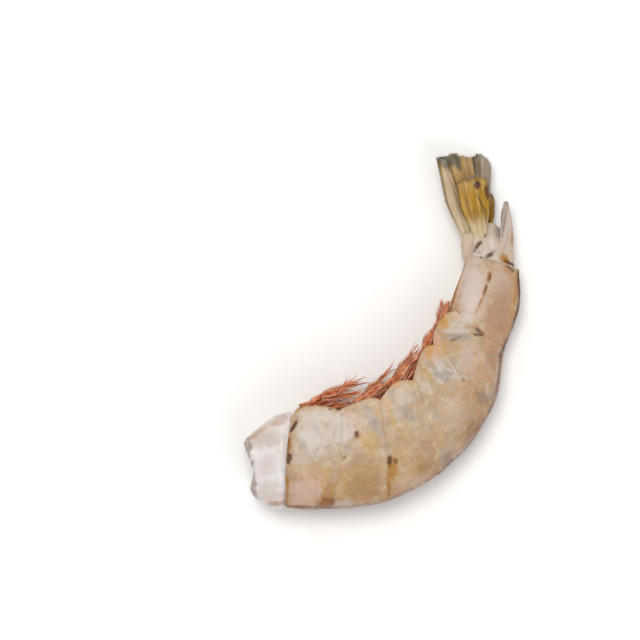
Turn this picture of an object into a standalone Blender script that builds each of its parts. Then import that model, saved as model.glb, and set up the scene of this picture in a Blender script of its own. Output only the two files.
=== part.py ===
"""A raw, headless whiteleg shrimp with its shell on, lying on its left side.

Run with: blender --background --python part.py, or from Blender's text editor.
The cut end faces -X, the tail fan +Y and the right flank +Z. Lengths are in millimetres and angles
in degrees up to the last step, where each mesh is scaled to metres.
"""

import math

import bmesh
import bpy
import numpy as np
from mathutils import Vector

MM = 0.001
COLLECTION = "whiteleg_shrimp"
SHARP_ANGLE = 40.0

# The spine: the lengths of the bare neck and the six segments, and how each of them heads in plan.
NECK_LENGTH = 8.6
SEGMENT_LENGTHS = (12.6, 11.2, 12.4, 13.4, 11.3, 18.0)
CUT_HEADING = 10.0
HEADINGS = (8.0, 2.0, 9.0, 37.0, 52.0, 67.0, 78.0)
TAIL_HEADING = 84.0
SPINE_STEP = 0.1

# The body at the cut, the six joints, the middle of segment six and its end: half sizes, and the
# headings to which the back half and the belly half of a section stand square.
BACK = (8.3, 10.7, 11.8, 11.9, 11.7, 10.0, 6.8, 7.5, 6.1)
FLAPS = (6.6, 13.1, 13.2, 14.6, 13.7, 12.6, 10.3, 8.9, 7.1)
BELLY = (6.6, 12.0, 11.3, 12.2, 11.5, 10.5, 8.5, 7.7, 5.9)
FLANK = (6.6, 8.3, 8.7, 8.8, 8.4, 7.4, 5.9, 5.4, 4.2)
BACK_HEADINGS = (9.0, 0.0, -12.0, 2.0, 24.0, 53.0, 62.0, 70.0, 74.0)
BELLY_HEADINGS = (9.0, -6.0, -2.0, 7.0, 15.0, 35.0, 46.0, 62.0, 74.0)
HEADING_BLEND = 8.0
BELLY_SQUARENESS = 2.6
TAIL_LIFT = 0.9

# The shell plates. Each one flares over the front of the next, and the first ends the bare neck.
PLATE_THICKNESS = 0.4
PLATE_GAP = 0.3
PLATE_FLARE = 0.9
PLATE_LEAD = 1.8
PLATE_TRAIL = 0.5
PLATE_ROWS = 7
ARCH_COLUMNS = 17
WALL_COLUMNS = 4
WALL_LEAN = 0.18
FLAT_SPOT_DIP = 0.1
# For each of the first five plates: how far the corners of its flap are cut back, and how abruptly.
FLAP_CORNERS = ((2.0, 5.0), (1.8, 3.0), (3.8, 1.7), (3.2, 2.2), (2.4, 2.4))
LAST_PLATE = 5
LAST_PLATE_WRAP = 150.0
# The ridge along the back of each plate.
KEELS = (0.0, 0.0, 0.1, 0.4, 0.5, 0.5)
KEEL_WIDTH = 14.0

# The meat.
MEAT_INSET = PLATE_THICKNESS + PLATE_GAP
MEAT_RINGS = 30
MEAT_SIDES = 20
MEAT_END_MARGIN = 3.2
CUT_RELIEF = 1.1
CUT_RELIEF_DEPTH = 4.0
CUT_FACE = ((0.25, 0.5), (0.6, 0.35), (0.9, 0.0), (1.0, 1.2))
MEAT_DOME = ((0.8, 0.9), (0.4, 1.5))

# The tail fan. A base is (along, towards the back, up) from the end of the spine, a turn goes
# towards the belly, a climb goes up, and a roll turns the blade's face from up towards the back.
TELSON = {"base": (0.5, 3.2, 0.5), "turn": 6.6, "climb": 0.0, "roll": 55.0}
TELSON_LENGTH = 14.5
TELSON_WIDTH = 5.2
TELSON_HEIGHT = 1.4
TELSON_RINGS = 9
# The section of the telson: (across, height), in half widths and heights. Its middle is a groove.
TELSON_SECTION = (
    (-1.0, 0.0), (-0.55, 1.0), (0.0, 0.72), (0.55, 1.0), (1.0, 0.0), (0.5, -0.4), (-0.5, -0.4),
)
TELSON_TIP = 0.08
TELSON_TIP_HEIGHT = 0.35
UROPODS = {
    "uropod_exopod_right": {
        "base": (4.8, -5.8, 1.4), "turn": 17.5, "climb": 2.0, "roll": 14.0,
        "length": 20.7, "width": 8.4, "slant": -0.2, "blunt": 0.93,
    },
    "uropod_endopod_right": {
        "base": (5.6, -3.8, 3.1), "turn": 15.5, "climb": 2.0, "roll": 14.0,
        "length": 14.4, "width": 7.4, "slant": -0.1, "blunt": 0.75,
    },
    "uropod_exopod_left": {
        "base": (4.6, -3.3, -1.2), "turn": 7.4, "climb": -1.0, "roll": -4.0,
        "length": 21.0, "width": 5.8, "slant": -0.1, "blunt": 0.85,
    },
    "uropod_endopod_left": {
        "base": (5.0, -3.0, -2.8), "turn": 3.0, "climb": 0.0, "roll": -4.0,
        "length": 11.8, "width": 5.0, "slant": 0.3, "blunt": 0.65,
    },
}
# A blade starts at this share of its width, is full at this share of its length, and ends bluntly.
UROPOD_STALK = 0.5
UROPOD_FULL_AT = 0.45
UROPOD_TIP = 0.24
UROPOD_RINGS = (0.0, 0.1, 0.2, 0.35, 0.5, 0.65, 0.8, 0.9, 0.96, 1.0)
UROPOD_CAMBER = 0.5
# The section of a uropod, from its thick belly edge: (across, height), in half widths and millimetres.
UROPOD_SECTION = (
    (-1.0, 0.1), (-0.84, 0.7), (-0.5, 0.35), (0.0, 0.5), (0.55, 0.3),
    (1.0, 0.0), (0.55, -0.25), (0.0, -0.3), (-0.5, -0.3), (-0.84, -0.35),
)
PROTOPODS = {
    "uropod_base_right": {"start": (2.0, -2.8, 1.7), "end": (4.4, -4.4, 2.2)},
    "uropod_base_left": {"start": (1.0, -2.2, -1.9), "end": (4.2, -2.8, -2.0)},
}
PROTOPOD_WIDTH = 7.4
PROTOPOD_THICKNESS = 2.6
PROTOPOD_SIDES = 10
PROTOPOD_RINGS = ((0.0, 0.6), (0.25, 0.8), (0.5, 1.0), (0.8, 1.0), (1.0, 0.8))

# The swimmerets of segments one to five: length, and the angle at which its blade lies off the belly.
SWIMMERETS = ((11.0, 12.0), (10.6, 20.0), (10.0, 8.0), (9.4, 5.0), (9.0, 5.0))
SWIMMERET_ROOT = 0.3
SWIMMERET_ROOT_ANGLE = 62.0
SWIMMERET_CLEARANCE = 0.5
SWIMMERET_SPREAD = 0.42
SWIMMERET_WIDTH = 3.0
SWIMMERET_THICKNESS = 1.4
SWIMMERET_SIDES = 8
SWIMMERET_BENT_AT = 0.4
SWIMMERET_SCALES = (0.75, 0.88, 0.88, 0.95, 1.0, 0.9, 0.65, 0.2)

FLESH = ("flesh", (0.80, 0.72, 0.64), 0.35)
SHELL = ("shell", (0.56, 0.41, 0.28), 0.3)
TAIL = ("tail", (0.34, 0.23, 0.09), 0.35)
SWIMMERET = ("swimmeret", (0.62, 0.24, 0.12), 0.4)


# ---------------------------------------------------------------- the spine


def smooth(x, stations, values):
    """The value at x on a smooth curve through the stations."""
    slopes = np.gradient(values, stations)
    x = min(max(x, stations[0]), stations[-1])
    i = min(max(int(np.searchsorted(stations, x)) - 1, 0), len(stations) - 2)
    width = stations[i + 1] - stations[i]
    t = (x - stations[i]) / width
    start = (2 * t**3 - 3 * t**2 + 1) * values[i] + (t**3 - 2 * t**2 + t) * width * slopes[i]
    end = (3 * t**2 - 2 * t**3) * values[i + 1] + (t**3 - t**2) * width * slopes[i + 1]
    return float(start + end)


def ease(x):
    """Zero below 0, one above 1, and smooth between."""
    x = min(max(x, 0.0), 1.0)
    return x * x * (3 - 2 * x)


# Distances along the spine: the cut, the joint at the front of each segment, and the tail's root.
JOINTS = [0.0] + [float(v) for v in np.cumsum((NECK_LENGTH,) + SEGMENT_LENGTHS)]
TAIL_ROOT = JOINTS[-1]
SIZE_STATIONS = JOINTS[:-1] + [(JOINTS[-2] + TAIL_ROOT) / 2, TAIL_ROOT]
HEADING_STATIONS = [0.0] + [(a + b) / 2 for a, b in zip(JOINTS, JOINTS[1:])] + [TAIL_ROOT]
HEADING_VALUES = (CUT_HEADING,) + HEADINGS + (TAIL_HEADING,)


def lay_spine():
    """Distances, plan positions and headings along the spine, at short even steps."""
    distances = np.arange(0.0, TAIL_ROOT + SPINE_STEP, SPINE_STEP)
    headings = np.radians([smooth(s, HEADING_STATIONS, HEADING_VALUES) for s in distances])
    middles = (headings[1:] + headings[:-1]) / 2
    x = np.concatenate([[0.0], np.cumsum(np.cos(middles) * SPINE_STEP)])
    y = np.concatenate([[0.0], np.cumsum(np.sin(middles) * SPINE_STEP)])
    return distances, x, y, headings


SPINE = lay_spine()


def half_size(s, values):
    return smooth(s, SIZE_STATIONS, values)


def spine_frame(s):
    """The spine's point at s, its direction, and the direction of the back."""
    distances, x, y, headings = SPINE
    heading = float(np.interp(s, distances, headings))
    lift = TAIL_LIFT * ease((s - JOINTS[5]) / (TAIL_ROOT - JOINTS[5]))
    height = half_size(s, FLANK) + PLATE_FLARE - FLAT_SPOT_DIP + lift
    along = Vector((math.cos(heading), math.sin(heading), 0.0))
    back = Vector((math.sin(heading), -math.cos(heading), 0.0))
    point = Vector((float(np.interp(s, distances, x)), float(np.interp(s, distances, y)), height))
    beyond = s - min(max(s, 0.0), TAIL_ROOT)
    return point + along * beyond, along, back


def body_point(s, back, up):
    """The point of the section at s, this far towards the back (or the belly, below zero) and up."""
    point, _, _ = spine_frame(s)
    share = ease(0.5 + back / HEADING_BLEND)
    heading = half_size(s, BELLY_HEADINGS) * (1 - share) + half_size(s, BACK_HEADINGS) * share
    heading = math.radians(heading)
    return point + Vector((math.sin(heading) * back, -math.cos(heading) * back, up))


# ---------------------------------------------------------------- mesh tools


def add_material(obj, finish):
    name, colour, roughness = finish
    material = bpy.data.materials.get(name)
    if material is None:
        material = bpy.data.materials.new(name)
        material.use_nodes = True
        shader = material.node_tree.nodes["Principled BSDF"]
        shader.inputs["Base Color"].default_value = (*colour, 1.0)
        shader.inputs["Roughness"].default_value = roughness
        shader.inputs["Metallic"].default_value = 0.0
    obj.data.materials.append(material)


def add_object(name, bm, finish):
    """One named object from a bmesh in millimetres."""
    bmesh.ops.scale(bm, vec=(MM, MM, MM), verts=bm.verts)
    mesh = bpy.data.meshes.new(name)
    bm.to_mesh(mesh)
    bm.free()
    mesh.shade_smooth()
    mesh.set_sharp_from_angle(angle=math.radians(SHARP_ANGLE))
    obj = bpy.data.objects.new(name, mesh)
    bpy.data.collections[COLLECTION].objects.link(obj)
    add_material(obj, finish)
    return obj


def add_loft(name, rings, finish):
    """A closed body through rings of equally many points."""
    bm = bmesh.new()
    rows = [[bm.verts.new(p) for p in ring] for ring in rings]
    count = len(rows[0])
    for row, following in zip(rows, rows[1:]):
        for j in range(count):
            k = (j + 1) % count
            bm.faces.new((row[j], row[k], following[k], following[j]))
    bm.faces.new(rows[0])
    bm.faces.new(rows[-1])
    bmesh.ops.recalc_face_normals(bm, faces=bm.faces)
    return add_object(name, bm, finish)


def add_plate_mesh(name, rows, finish):
    """A thin plate: an open surface of triangles, thickened inwards."""
    bm = bmesh.new()
    grid = [[bm.verts.new(p) for p in row] for row in rows]
    for row, following in zip(grid, grid[1:]):
        for j in range(len(row) - 1):
            bm.faces.new((row[j], following[j], following[j + 1]))
            bm.faces.new((row[j], following[j + 1], row[j + 1]))
    obj = add_object(name, bm, finish)
    solidify = obj.modifiers.new("Thickness", "SOLIDIFY")
    solidify.thickness = PLATE_THICKNESS * MM
    solidify.offset = -1.0
    return obj


# ---------------------------------------------------------------- meat


def meat_section(s, scale=1.0, shift=0.0):
    """One ring of the meat: an oval back and a squarer belly."""
    inset = MEAT_INSET * ease(s / NECK_LENGTH)
    full_back = half_size(s, BACK) - inset
    back = full_back * scale
    belly = half_size(s, BELLY) * scale
    flank = (half_size(s, FLANK) - inset) * scale
    square = 2 / BELLY_SQUARENESS
    ring = []
    for k in range(MEAT_SIDES):
        angle = 2 * math.pi * k / MEAT_SIDES
        c, d = math.cos(angle), math.sin(angle)
        if c >= 0:
            b, w = back * c, flank * d
        else:
            b = -belly * abs(c) ** square
            w = math.copysign(flank * abs(d) ** square, d)
        relief = CUT_RELIEF * math.sin(math.pi * b / full_back) * ease(1 - s / CUT_RELIEF_DEPTH)
        ring.append(body_point(s + shift - relief, b, w))
    return ring


def add_meat():
    rings = [meat_section(0.0, scale, shift) for scale, shift in CUT_FACE]
    end = TAIL_ROOT - MEAT_END_MARGIN
    first = CUT_FACE[-1][1]
    for k in range(1, MEAT_RINGS):
        rings.append(meat_section(first + (end - first) * k / (MEAT_RINGS - 1)))
    rings += [meat_section(end, scale, shift) for scale, shift in MEAT_DOME]
    add_loft("meat", rings, FLESH)


# ---------------------------------------------------------------- shell plates


def keel_height(number, angle):
    return KEELS[number] * math.exp(-((math.degrees(angle) / KEEL_WIDTH) ** 2))


def plate_offset(s, number):
    """How far the plate stands off at s: flush at its front, flared before the next one starts."""
    if number == LAST_PLATE:
        return 0.0
    rise_start = JOINTS[number + 1] + PLATE_TRAIL
    rise_end = JOINTS[number + 2] - PLATE_LEAD
    return PLATE_FLARE * ease((s - rise_start) / (rise_end - rise_start))


def plate_arch(s, number, angle):
    """A point over the back of a plate, at an angle from the ridge."""
    offset = plate_offset(s, number)
    back = half_size(s, BACK) + offset + keel_height(number, angle)
    flank = half_size(s, FLANK) + offset
    return body_point(s, back * math.cos(angle), flank * math.sin(angle))


def plate_wall(s, number, side, t, corner):
    """A point down the side of a plate, from the flank (t = 0) to the edge of its flap (t = 1)."""
    full_reach = half_size(s, FLAPS)
    down = t * (full_reach - corner)
    flank = half_size(s, FLANK) + plate_offset(s, number)
    return body_point(s, -down, side * flank * (1 - WALL_LEAN * (down / full_reach) ** 2))


def plate_row(number, s, t):
    """One row of a flapped plate, at s along the spine and t of its length."""
    depth, abruptness = FLAP_CORNERS[number]
    corner = depth * abs(2 * t - 1) ** abruptness
    steps = [k / WALL_COLUMNS for k in range(1, WALL_COLUMNS + 1)]
    row = [plate_wall(s, number, -1, step, corner) for step in reversed(steps)]
    for k in range(ARCH_COLUMNS):
        row.append(plate_arch(s, number, math.pi * (k / (ARCH_COLUMNS - 1) - 0.5)))
    row += [plate_wall(s, number, 1, step, corner) for step in steps]
    return row


def last_plate_row(number, s):
    """One row of the last plate, which wraps round the belly but for a slit."""
    columns = ARCH_COLUMNS + 2 * WALL_COLUMNS
    square = 2 / BELLY_SQUARENESS
    row = []
    for k in range(columns):
        angle = math.radians(LAST_PLATE_WRAP) * (2 * k / (columns - 1) - 1)
        if abs(angle) <= math.pi / 2:
            row.append(plate_arch(s, number, angle))
            continue
        offset = plate_offset(s, number)
        b = -(half_size(s, FLAPS) + offset) * abs(math.cos(angle)) ** square
        w = (half_size(s, FLANK) + offset) * abs(math.sin(angle)) ** square
        row.append(body_point(s, b, math.copysign(w, angle)))
    return row


def add_plate(number):
    """Plate 0 to 5. Its underside is flat where it rests."""
    lead = PLATE_LEAD if number else 0.0
    last = number == LAST_PLATE
    start = JOINTS[number + 1] - lead
    end = JOINTS[number + 2] + (0.0 if last else PLATE_TRAIL)
    rows = []
    for k in range(PLATE_ROWS):
        t = k / (PLATE_ROWS - 1)
        s = start + (end - start) * t
        row = last_plate_row(number, s) if last else plate_row(number, s, t)
        rows.append([Vector((p.x, p.y, max(p.z, 0.0))) for p in row])
    add_plate_mesh(f"shell_{number + 1}", rows, SHELL)


# ---------------------------------------------------------------- tail fan


def tail_point(base):
    root, along, back = spine_frame(TAIL_ROOT)
    return root + along * base[0] + back * base[1] + Vector((0.0, 0.0, base[2]))


def blade_frame(base, turn, climb, roll):
    """Origin, forward, across (towards the back) and face directions of a tail blade."""
    _, along, back = spine_frame(TAIL_ROOT)
    turn, climb, roll = (math.radians(v) for v in (turn, climb, roll))
    up = Vector((0.0, 0.0, 1.0))
    level = along * math.cos(turn) - back * math.sin(turn)
    forward = level * math.cos(climb) + up * math.sin(climb)
    sideways = along * math.sin(turn) + back * math.cos(turn)
    face = sideways.cross(forward)
    turned_face = face * math.cos(roll) + sideways * math.sin(roll)
    turned_side = sideways * math.cos(roll) - face * math.sin(roll)
    return tail_point(base), forward, turned_side, turned_face


def add_telson():
    """The pointed middle blade, roof-shaped, with a groove along its back."""
    origin, forward, across, face = blade_frame(**TELSON)
    rings = []
    for k in range(TELSON_RINGS):
        t = k / (TELSON_RINGS - 1)
        half = TELSON_WIDTH / 2 * (TELSON_TIP + (1 - TELSON_TIP) * (1 - t**2.6) ** 0.6)
        height = TELSON_HEIGHT * (TELSON_TIP_HEIGHT + (1 - TELSON_TIP_HEIGHT) * (1 - t))
        centre = origin + forward * (TELSON_LENGTH * t)
        rings.append([centre + across * (half * a) + face * (height * h) for a, h in TELSON_SECTION])
    add_loft("telson", rings, TAIL)


def uropod_half_width(t, width, blunt):
    grown = UROPOD_STALK + (1 - UROPOD_STALK) * ease(t / UROPOD_FULL_AT)
    tip = 1.0
    if t > blunt:
        tip = max(math.sqrt(1 - ((t - blunt) / (1 - blunt)) ** 2), UROPOD_TIP)
    return width / 2 * grown * tip


def add_uropod(name, base, turn, climb, roll, length, width, slant, blunt):
    """A leaf-like blade with a thick rib along its belly edge."""
    origin, forward, across, face = blade_frame(base, turn, climb, roll)
    rings = []
    for t in UROPOD_RINGS:
        half = uropod_half_width(t, width, blunt)
        camber = UROPOD_CAMBER * ease(t / UROPOD_FULL_AT)
        ring = []
        for a, h in UROPOD_SECTION:
            distance = length * t + slant * half * a * ease(t)
            arch = camber * (1 - a * a)
            ring.append(origin + forward * distance + across * (half * a) + face * (h + arch))
        rings.append(ring)
    add_loft(name, rings, TAIL)


def add_protopod(name, start, end):
    """The short joint that carries two uropod blades: a rounded block."""
    first, last = tail_point(start), tail_point(end)
    forward = (last - first).normalized()
    up = Vector((0.0, 0.0, 1.0))
    across = forward.cross(up).normalized()
    rings = []
    for t, scale in PROTOPOD_RINGS:
        centre = first.lerp(last, t)
        ring = []
        for k in range(PROTOPOD_SIDES):
            angle = 2 * math.pi * k / PROTOPOD_SIDES
            ring.append(
                centre
                + across * (PROTOPOD_WIDTH / 2 * scale * math.cos(angle))
                + up * (PROTOPOD_THICKNESS / 2 * scale * math.sin(angle))
            )
        rings.append(ring)
    add_loft(name, rings, TAIL)


# ---------------------------------------------------------------- swimmerets


def add_swimmeret(number, side):
    """A flattened leg, folded back along the belly."""
    length, angle = SWIMMERETS[number]
    s = JOINTS[number + 1] + SWIMMERET_ROOT * SEGMENT_LENGTHS[number]
    _, along, back = spine_frame(s)
    spread = side * SWIMMERET_SPREAD * half_size(s, FLANK)
    centre = body_point(s, -half_size(s, BELLY) - SWIMMERET_CLEARANCE, spread)
    across = Vector((0.0, 0.0, 1.0))
    rings = []
    steps = len(SWIMMERET_SCALES) - 1
    for step, scale in enumerate(SWIMMERET_SCALES):
        bend = ease(step / steps / SWIMMERET_BENT_AT)
        lean = math.radians(SWIMMERET_ROOT_ANGLE + (angle - SWIMMERET_ROOT_ANGLE) * bend)
        forward = along * math.cos(lean) - back * math.sin(lean)
        face = along * math.sin(lean) + back * math.cos(lean)
        ring = []
        for k in range(SWIMMERET_SIDES):
            turn = 2 * math.pi * k / SWIMMERET_SIDES
            ring.append(
                centre
                + across * (SWIMMERET_WIDTH / 2 * scale * math.cos(turn))
                + face * (SWIMMERET_THICKNESS / 2 * scale * math.sin(turn))
            )
        rings.append(ring)
        centre = centre + forward * (length / steps)
    flank = "right" if side > 0 else "left"
    add_loft(f"swimmeret_{flank}_{number + 1}", rings, SWIMMERET)


# ---------------------------------------------------------------- the whole shrimp


def centre_on_floor():
    """Move everything so that the origin is at the middle of the bottom of the box round it."""
    parts = bpy.data.collections[COLLECTION].objects
    graph = bpy.context.evaluated_depsgraph_get()
    corners = []
    for obj in parts:
        mesh = obj.evaluated_get(graph).data
        corners += [obj.matrix_world @ v.co for v in mesh.vertices]
    low = Vector([min(p[k] for p in corners) for k in range(3)])
    high = Vector([max(p[k] for p in corners) for k in range(3)])
    middle = (low + high) / 2
    for obj in parts:
        obj.location = (-middle.x, -middle.y, -low.z)


def build():
    for obj in list(bpy.data.objects):
        bpy.data.objects.remove(obj)
    collection = bpy.data.collections.new(COLLECTION)
    bpy.context.scene.collection.children.link(collection)
    add_meat()
    for number in range(len(SEGMENT_LENGTHS)):
        add_plate(number)
    add_telson()
    for name, joint in PROTOPODS.items():
        add_protopod(name, **joint)
    for name, blade in UROPODS.items():
        add_uropod(name, **blade)
    for number in range(len(SWIMMERETS)):
        for side in (1, -1):
            add_swimmeret(number, side)
    centre_on_floor()


build()
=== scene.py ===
"""How a raw headless shrimp looks in its shell, lying on its left side with its right side up.

The frame gives the place; this script adds the skin: the meat with its cut end, six overlapping shell
plates, the tail fan and the swimmerets with their bristles. Body lengths are in millimetres and angles
in degrees until a mesh is made. A place on the body is (along the spine from the cut, towards the back).
"""

import math

import bpy
import numpy as np
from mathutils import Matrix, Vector, noise


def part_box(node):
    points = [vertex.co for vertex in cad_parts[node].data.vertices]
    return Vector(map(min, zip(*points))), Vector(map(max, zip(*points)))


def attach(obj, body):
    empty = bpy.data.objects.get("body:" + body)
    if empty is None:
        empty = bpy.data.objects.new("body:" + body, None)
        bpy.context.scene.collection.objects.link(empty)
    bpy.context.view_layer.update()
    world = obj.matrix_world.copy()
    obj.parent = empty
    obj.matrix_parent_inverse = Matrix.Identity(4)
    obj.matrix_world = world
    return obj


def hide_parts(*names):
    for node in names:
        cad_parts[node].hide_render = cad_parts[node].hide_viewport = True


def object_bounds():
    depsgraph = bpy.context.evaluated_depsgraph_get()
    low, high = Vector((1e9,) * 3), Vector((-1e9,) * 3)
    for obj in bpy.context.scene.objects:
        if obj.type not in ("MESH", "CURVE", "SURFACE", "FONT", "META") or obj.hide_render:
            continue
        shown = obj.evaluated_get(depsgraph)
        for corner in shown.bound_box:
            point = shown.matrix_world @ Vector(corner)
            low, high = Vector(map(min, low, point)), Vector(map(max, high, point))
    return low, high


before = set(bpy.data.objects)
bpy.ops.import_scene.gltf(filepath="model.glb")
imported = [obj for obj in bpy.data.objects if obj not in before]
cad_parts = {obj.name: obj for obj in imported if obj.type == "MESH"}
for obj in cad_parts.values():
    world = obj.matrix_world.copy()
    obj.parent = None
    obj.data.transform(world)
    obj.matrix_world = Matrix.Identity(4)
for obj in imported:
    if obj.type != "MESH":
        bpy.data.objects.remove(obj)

CAD_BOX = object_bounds()
MM = 0.001
UP = np.array((0.0, 0.0, 1.0))

# The middle of the cut end, measured from the lowest corner of the meat.
CUT_FROM_MEAT = np.array((0.469, 9.170, -1.047))
CUT = np.array(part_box("meat")[0]) / MM + CUT_FROM_MEAT

# ---------------------------------------------------------------- the body's sizes

NECK_LENGTH = 8.6
SEGMENT_LENGTHS = (12.6, 11.2, 12.4, 13.4, 11.3, 18.0)
JOINTS = np.concatenate([[0.0], np.cumsum((NECK_LENGTH,) + SEGMENT_LENGTHS)])
TAIL_ROOT = JOINTS[-1]
SIZE_STATIONS = np.concatenate([JOINTS[:-1], [(JOINTS[-2] + TAIL_ROOT) / 2, TAIL_ROOT]])
HEADING_STATIONS = np.concatenate([[0.0], (JOINTS[1:] + JOINTS[:-1]) / 2, [TAIL_ROOT]])
HEADINGS = (10.0, 8.0, 2.0, 9.0, 37.0, 52.0, 67.0, 78.0, 84.0)
SPINE_STEP = 0.1

# Half sizes of the sections, how far the flaps reach, and the headings to which the back and belly
# halves of a section stand square.
BACK = (8.3, 10.7, 11.8, 11.9, 11.7, 10.0, 6.8, 7.5, 6.1)
FLAPS = (6.6, 13.1, 13.2, 14.6, 13.7, 12.6, 10.3, 8.9, 7.1)
BELLY = (6.6, 12.0, 11.3, 12.2, 11.5, 10.5, 8.5, 7.7, 5.9)
FLANK = (6.6, 8.3, 8.7, 8.8, 8.4, 7.4, 5.9, 5.4, 4.2)
BACK_HEADINGS = (9.0, 0.0, -12.0, 2.0, 24.0, 53.0, 62.0, 70.0, 74.0)
BELLY_HEADINGS = (9.0, -6.0, -2.0, 7.0, 15.0, 35.0, 46.0, 62.0, 74.0)
HEADING_BLEND = 8.0
BELLY_SQUARENESS = 2.6
FLANK_HEIGHT = 0.8
TAIL_LIFT = 0.9
LIFT_FROM = JOINTS[5]

# A plate is this thick. It starts before its joint, under the plate in front, and ends after the next.
PLATE_SKIN = 0.08
PLATE_LEAD = 1.8
PLATE_TRAIL = 0.5
# A plate stands off the next one by this much, on the side it lies on and on the upper side.
FLARE_BELOW = 0.9
FLARE_ABOVE = 0.06
WALL_LEAN = 0.18
# For each plate but the last: how far the corners of its flaps are cut back, and how abruptly.
FLAP_CORNERS = ((2.0, 5.0), (1.8, 3.0), (3.8, 1.7), (3.2, 2.2), (2.4, 2.4))
LAST_PLATE = 5
LAST_PLATE_WRAP = 150.0
# The height of the keel along each plate's back, and its half width in degrees.
KEELS = (0.0, 0.0, 0.1, 0.4, 0.5, 0.5)
KEEL_WIDTH = 14.0
MEAT_INSET = 0.7


def ease(x):
    """Zero below 0, one above 1, and smooth between."""
    x = np.clip(x, 0.0, 1.0)
    return x * x * (3 - 2 * x)


def hump(x, width):
    """One at 0, and smoothly less away from it."""
    return np.exp(-((x / width) ** 2))


def on_curve(x, stations, values):
    """Values at x on a smooth curve through the stations."""
    stations = np.asarray(stations, float)
    values = np.asarray(values, float)
    slopes = np.gradient(values, stations)
    x = np.clip(np.asarray(x, float), stations[0], stations[-1])
    i = np.clip(np.searchsorted(stations, x) - 1, 0, len(stations) - 2)
    width = stations[i + 1] - stations[i]
    t = (x - stations[i]) / width
    start = (2 * t**3 - 3 * t**2 + 1) * values[i] + (t**3 - 2 * t**2 + t) * width * slopes[i]
    end = (3 * t**2 - 2 * t**3) * values[i + 1] + (t**3 - t**2) * width * slopes[i + 1]
    return start + end


def size(s, values):
    return on_curve(s, SIZE_STATIONS, values)


def lay_spine():
    """Distances, plan positions and headings along the spine, at short even steps."""
    distances = np.arange(0.0, TAIL_ROOT + SPINE_STEP, SPINE_STEP)
    headings = np.radians(on_curve(distances, HEADING_STATIONS, HEADINGS))
    middles = (headings[1:] + headings[:-1]) / 2
    x = np.concatenate([[0.0], np.cumsum(np.cos(middles) * SPINE_STEP)])
    y = np.concatenate([[0.0], np.cumsum(np.sin(middles) * SPINE_STEP)])
    return distances, x, y, headings


SPINE = lay_spine()


def spine_at(s):
    """The spine's points at s, its direction and the direction of the back."""
    s = np.asarray(s, float)
    distances, x, y, headings = SPINE
    inside = np.clip(s, 0.0, TAIL_ROOT)
    heading = np.interp(inside, distances, headings)
    along = np.stack([np.cos(heading), np.sin(heading), 0 * heading], -1)
    back = np.stack([np.sin(heading), -np.cos(heading), 0 * heading], -1)
    lift = TAIL_LIFT * ease((inside - LIFT_FROM) / (TAIL_ROOT - LIFT_FROM))
    height = size(inside, FLANK) + FLANK_HEIGHT + lift
    plan = [np.interp(inside, distances, x), np.interp(inside, distances, y), height]
    return CUT + np.stack(plan, -1) + along * (s - inside)[..., None], along, back


def body_points(s, back, up):
    """Points of the sections at s, this far towards the back (or the belly, below zero) and up."""
    s, back, up = np.broadcast_arrays(np.asarray(s, float), back, up)
    points, _, _ = spine_at(s)
    share = ease(0.5 + back / HEADING_BLEND)
    heading = np.radians(size(s, BELLY_HEADINGS) * (1 - share) + size(s, BACK_HEADINGS) * share)
    return points + np.stack([np.sin(heading) * back, -np.cos(heading) * back, up], -1)


# ---------------------------------------------------------------- shaping

NOISE_GAIN = 1.6
BRISTLE_STEPS = 5
BRISTLE_TAPER = 0.8
# A direction that no bristle runs along.
ASKEW = np.array((0.31, 0.27, 0.91))


def swell(points, grain, seed=0.0):
    """Smooth rises and dips between about -1 and 1, this many millimetres apart."""
    flat = points.reshape(-1, 3) / grain + seed
    values = [noise.noise(Vector(p)) for p in flat]
    return np.array(values).reshape(points.shape[:-1]) * NOISE_GAIN


def dents(points, *layers):
    """Uneven relief in layers, each with its height, its grain and its seed."""
    return sum(height * swell(points, grain, seed) for height, grain, seed in layers)


def round_ring(count):
    """Angles all the way round a ring, as one row."""
    return np.linspace(0, 2 * math.pi, count, endpoint=False)[None]


def step(origin, *moves):
    """The points reached from an origin by moves, each a direction with a distance for each point."""
    points = origin
    for direction, distance in moves:
        points = points + direction * distance[..., None]
    return points


def unit(v):
    return v / np.maximum(np.linalg.norm(v, axis=-1, keepdims=True), 1e-9)


def faces_out(points, closed):
    """The surface directions of a grid of points, whose columns may close into rings."""
    down = np.gradient(points, axis=0)
    if closed:
        across = (np.roll(points, -1, axis=1) - np.roll(points, 1, axis=1)) / 2
    else:
        across = np.gradient(points, axis=1)
    return unit(np.cross(across, down))


def away_from(normals, points, centres):
    """The same directions, turned so that they point away from the centres."""
    outward = ((points - centres) * normals).sum(-1).mean()
    return normals if outward > 0 else -normals


def make_piece(name, vertices, faces, marks, material):
    """One object from points in millimetres, with a value for each point under each name in marks."""
    mesh = bpy.data.meshes.new(name)
    mesh.from_pydata((vertices * MM).tolist(), [], faces)
    mesh.validate()
    for label, values in marks.items():
        kind = "FLOAT_VECTOR" if values.ndim == 2 else "FLOAT"
        layer = mesh.attributes.new(label, kind, "POINT")
        layer.data.foreach_set("vector" if values.ndim == 2 else "value", values.astype(np.float32).ravel())
    mesh.shade_smooth()
    mesh.materials.append(material)
    piece = bpy.data.objects.new(name, mesh)
    bpy.context.scene.collection.objects.link(piece)
    return piece


def flat_marks(marks, shape):
    """Marks laid out as one row of values for each point."""
    laid = {}
    for label, values in marks.items():
        if values.ndim == len(shape) + 1:
            laid[label] = values.reshape(-1, 3)
        else:
            laid[label] = np.broadcast_to(values, shape).reshape(-1)
    return laid


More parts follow.
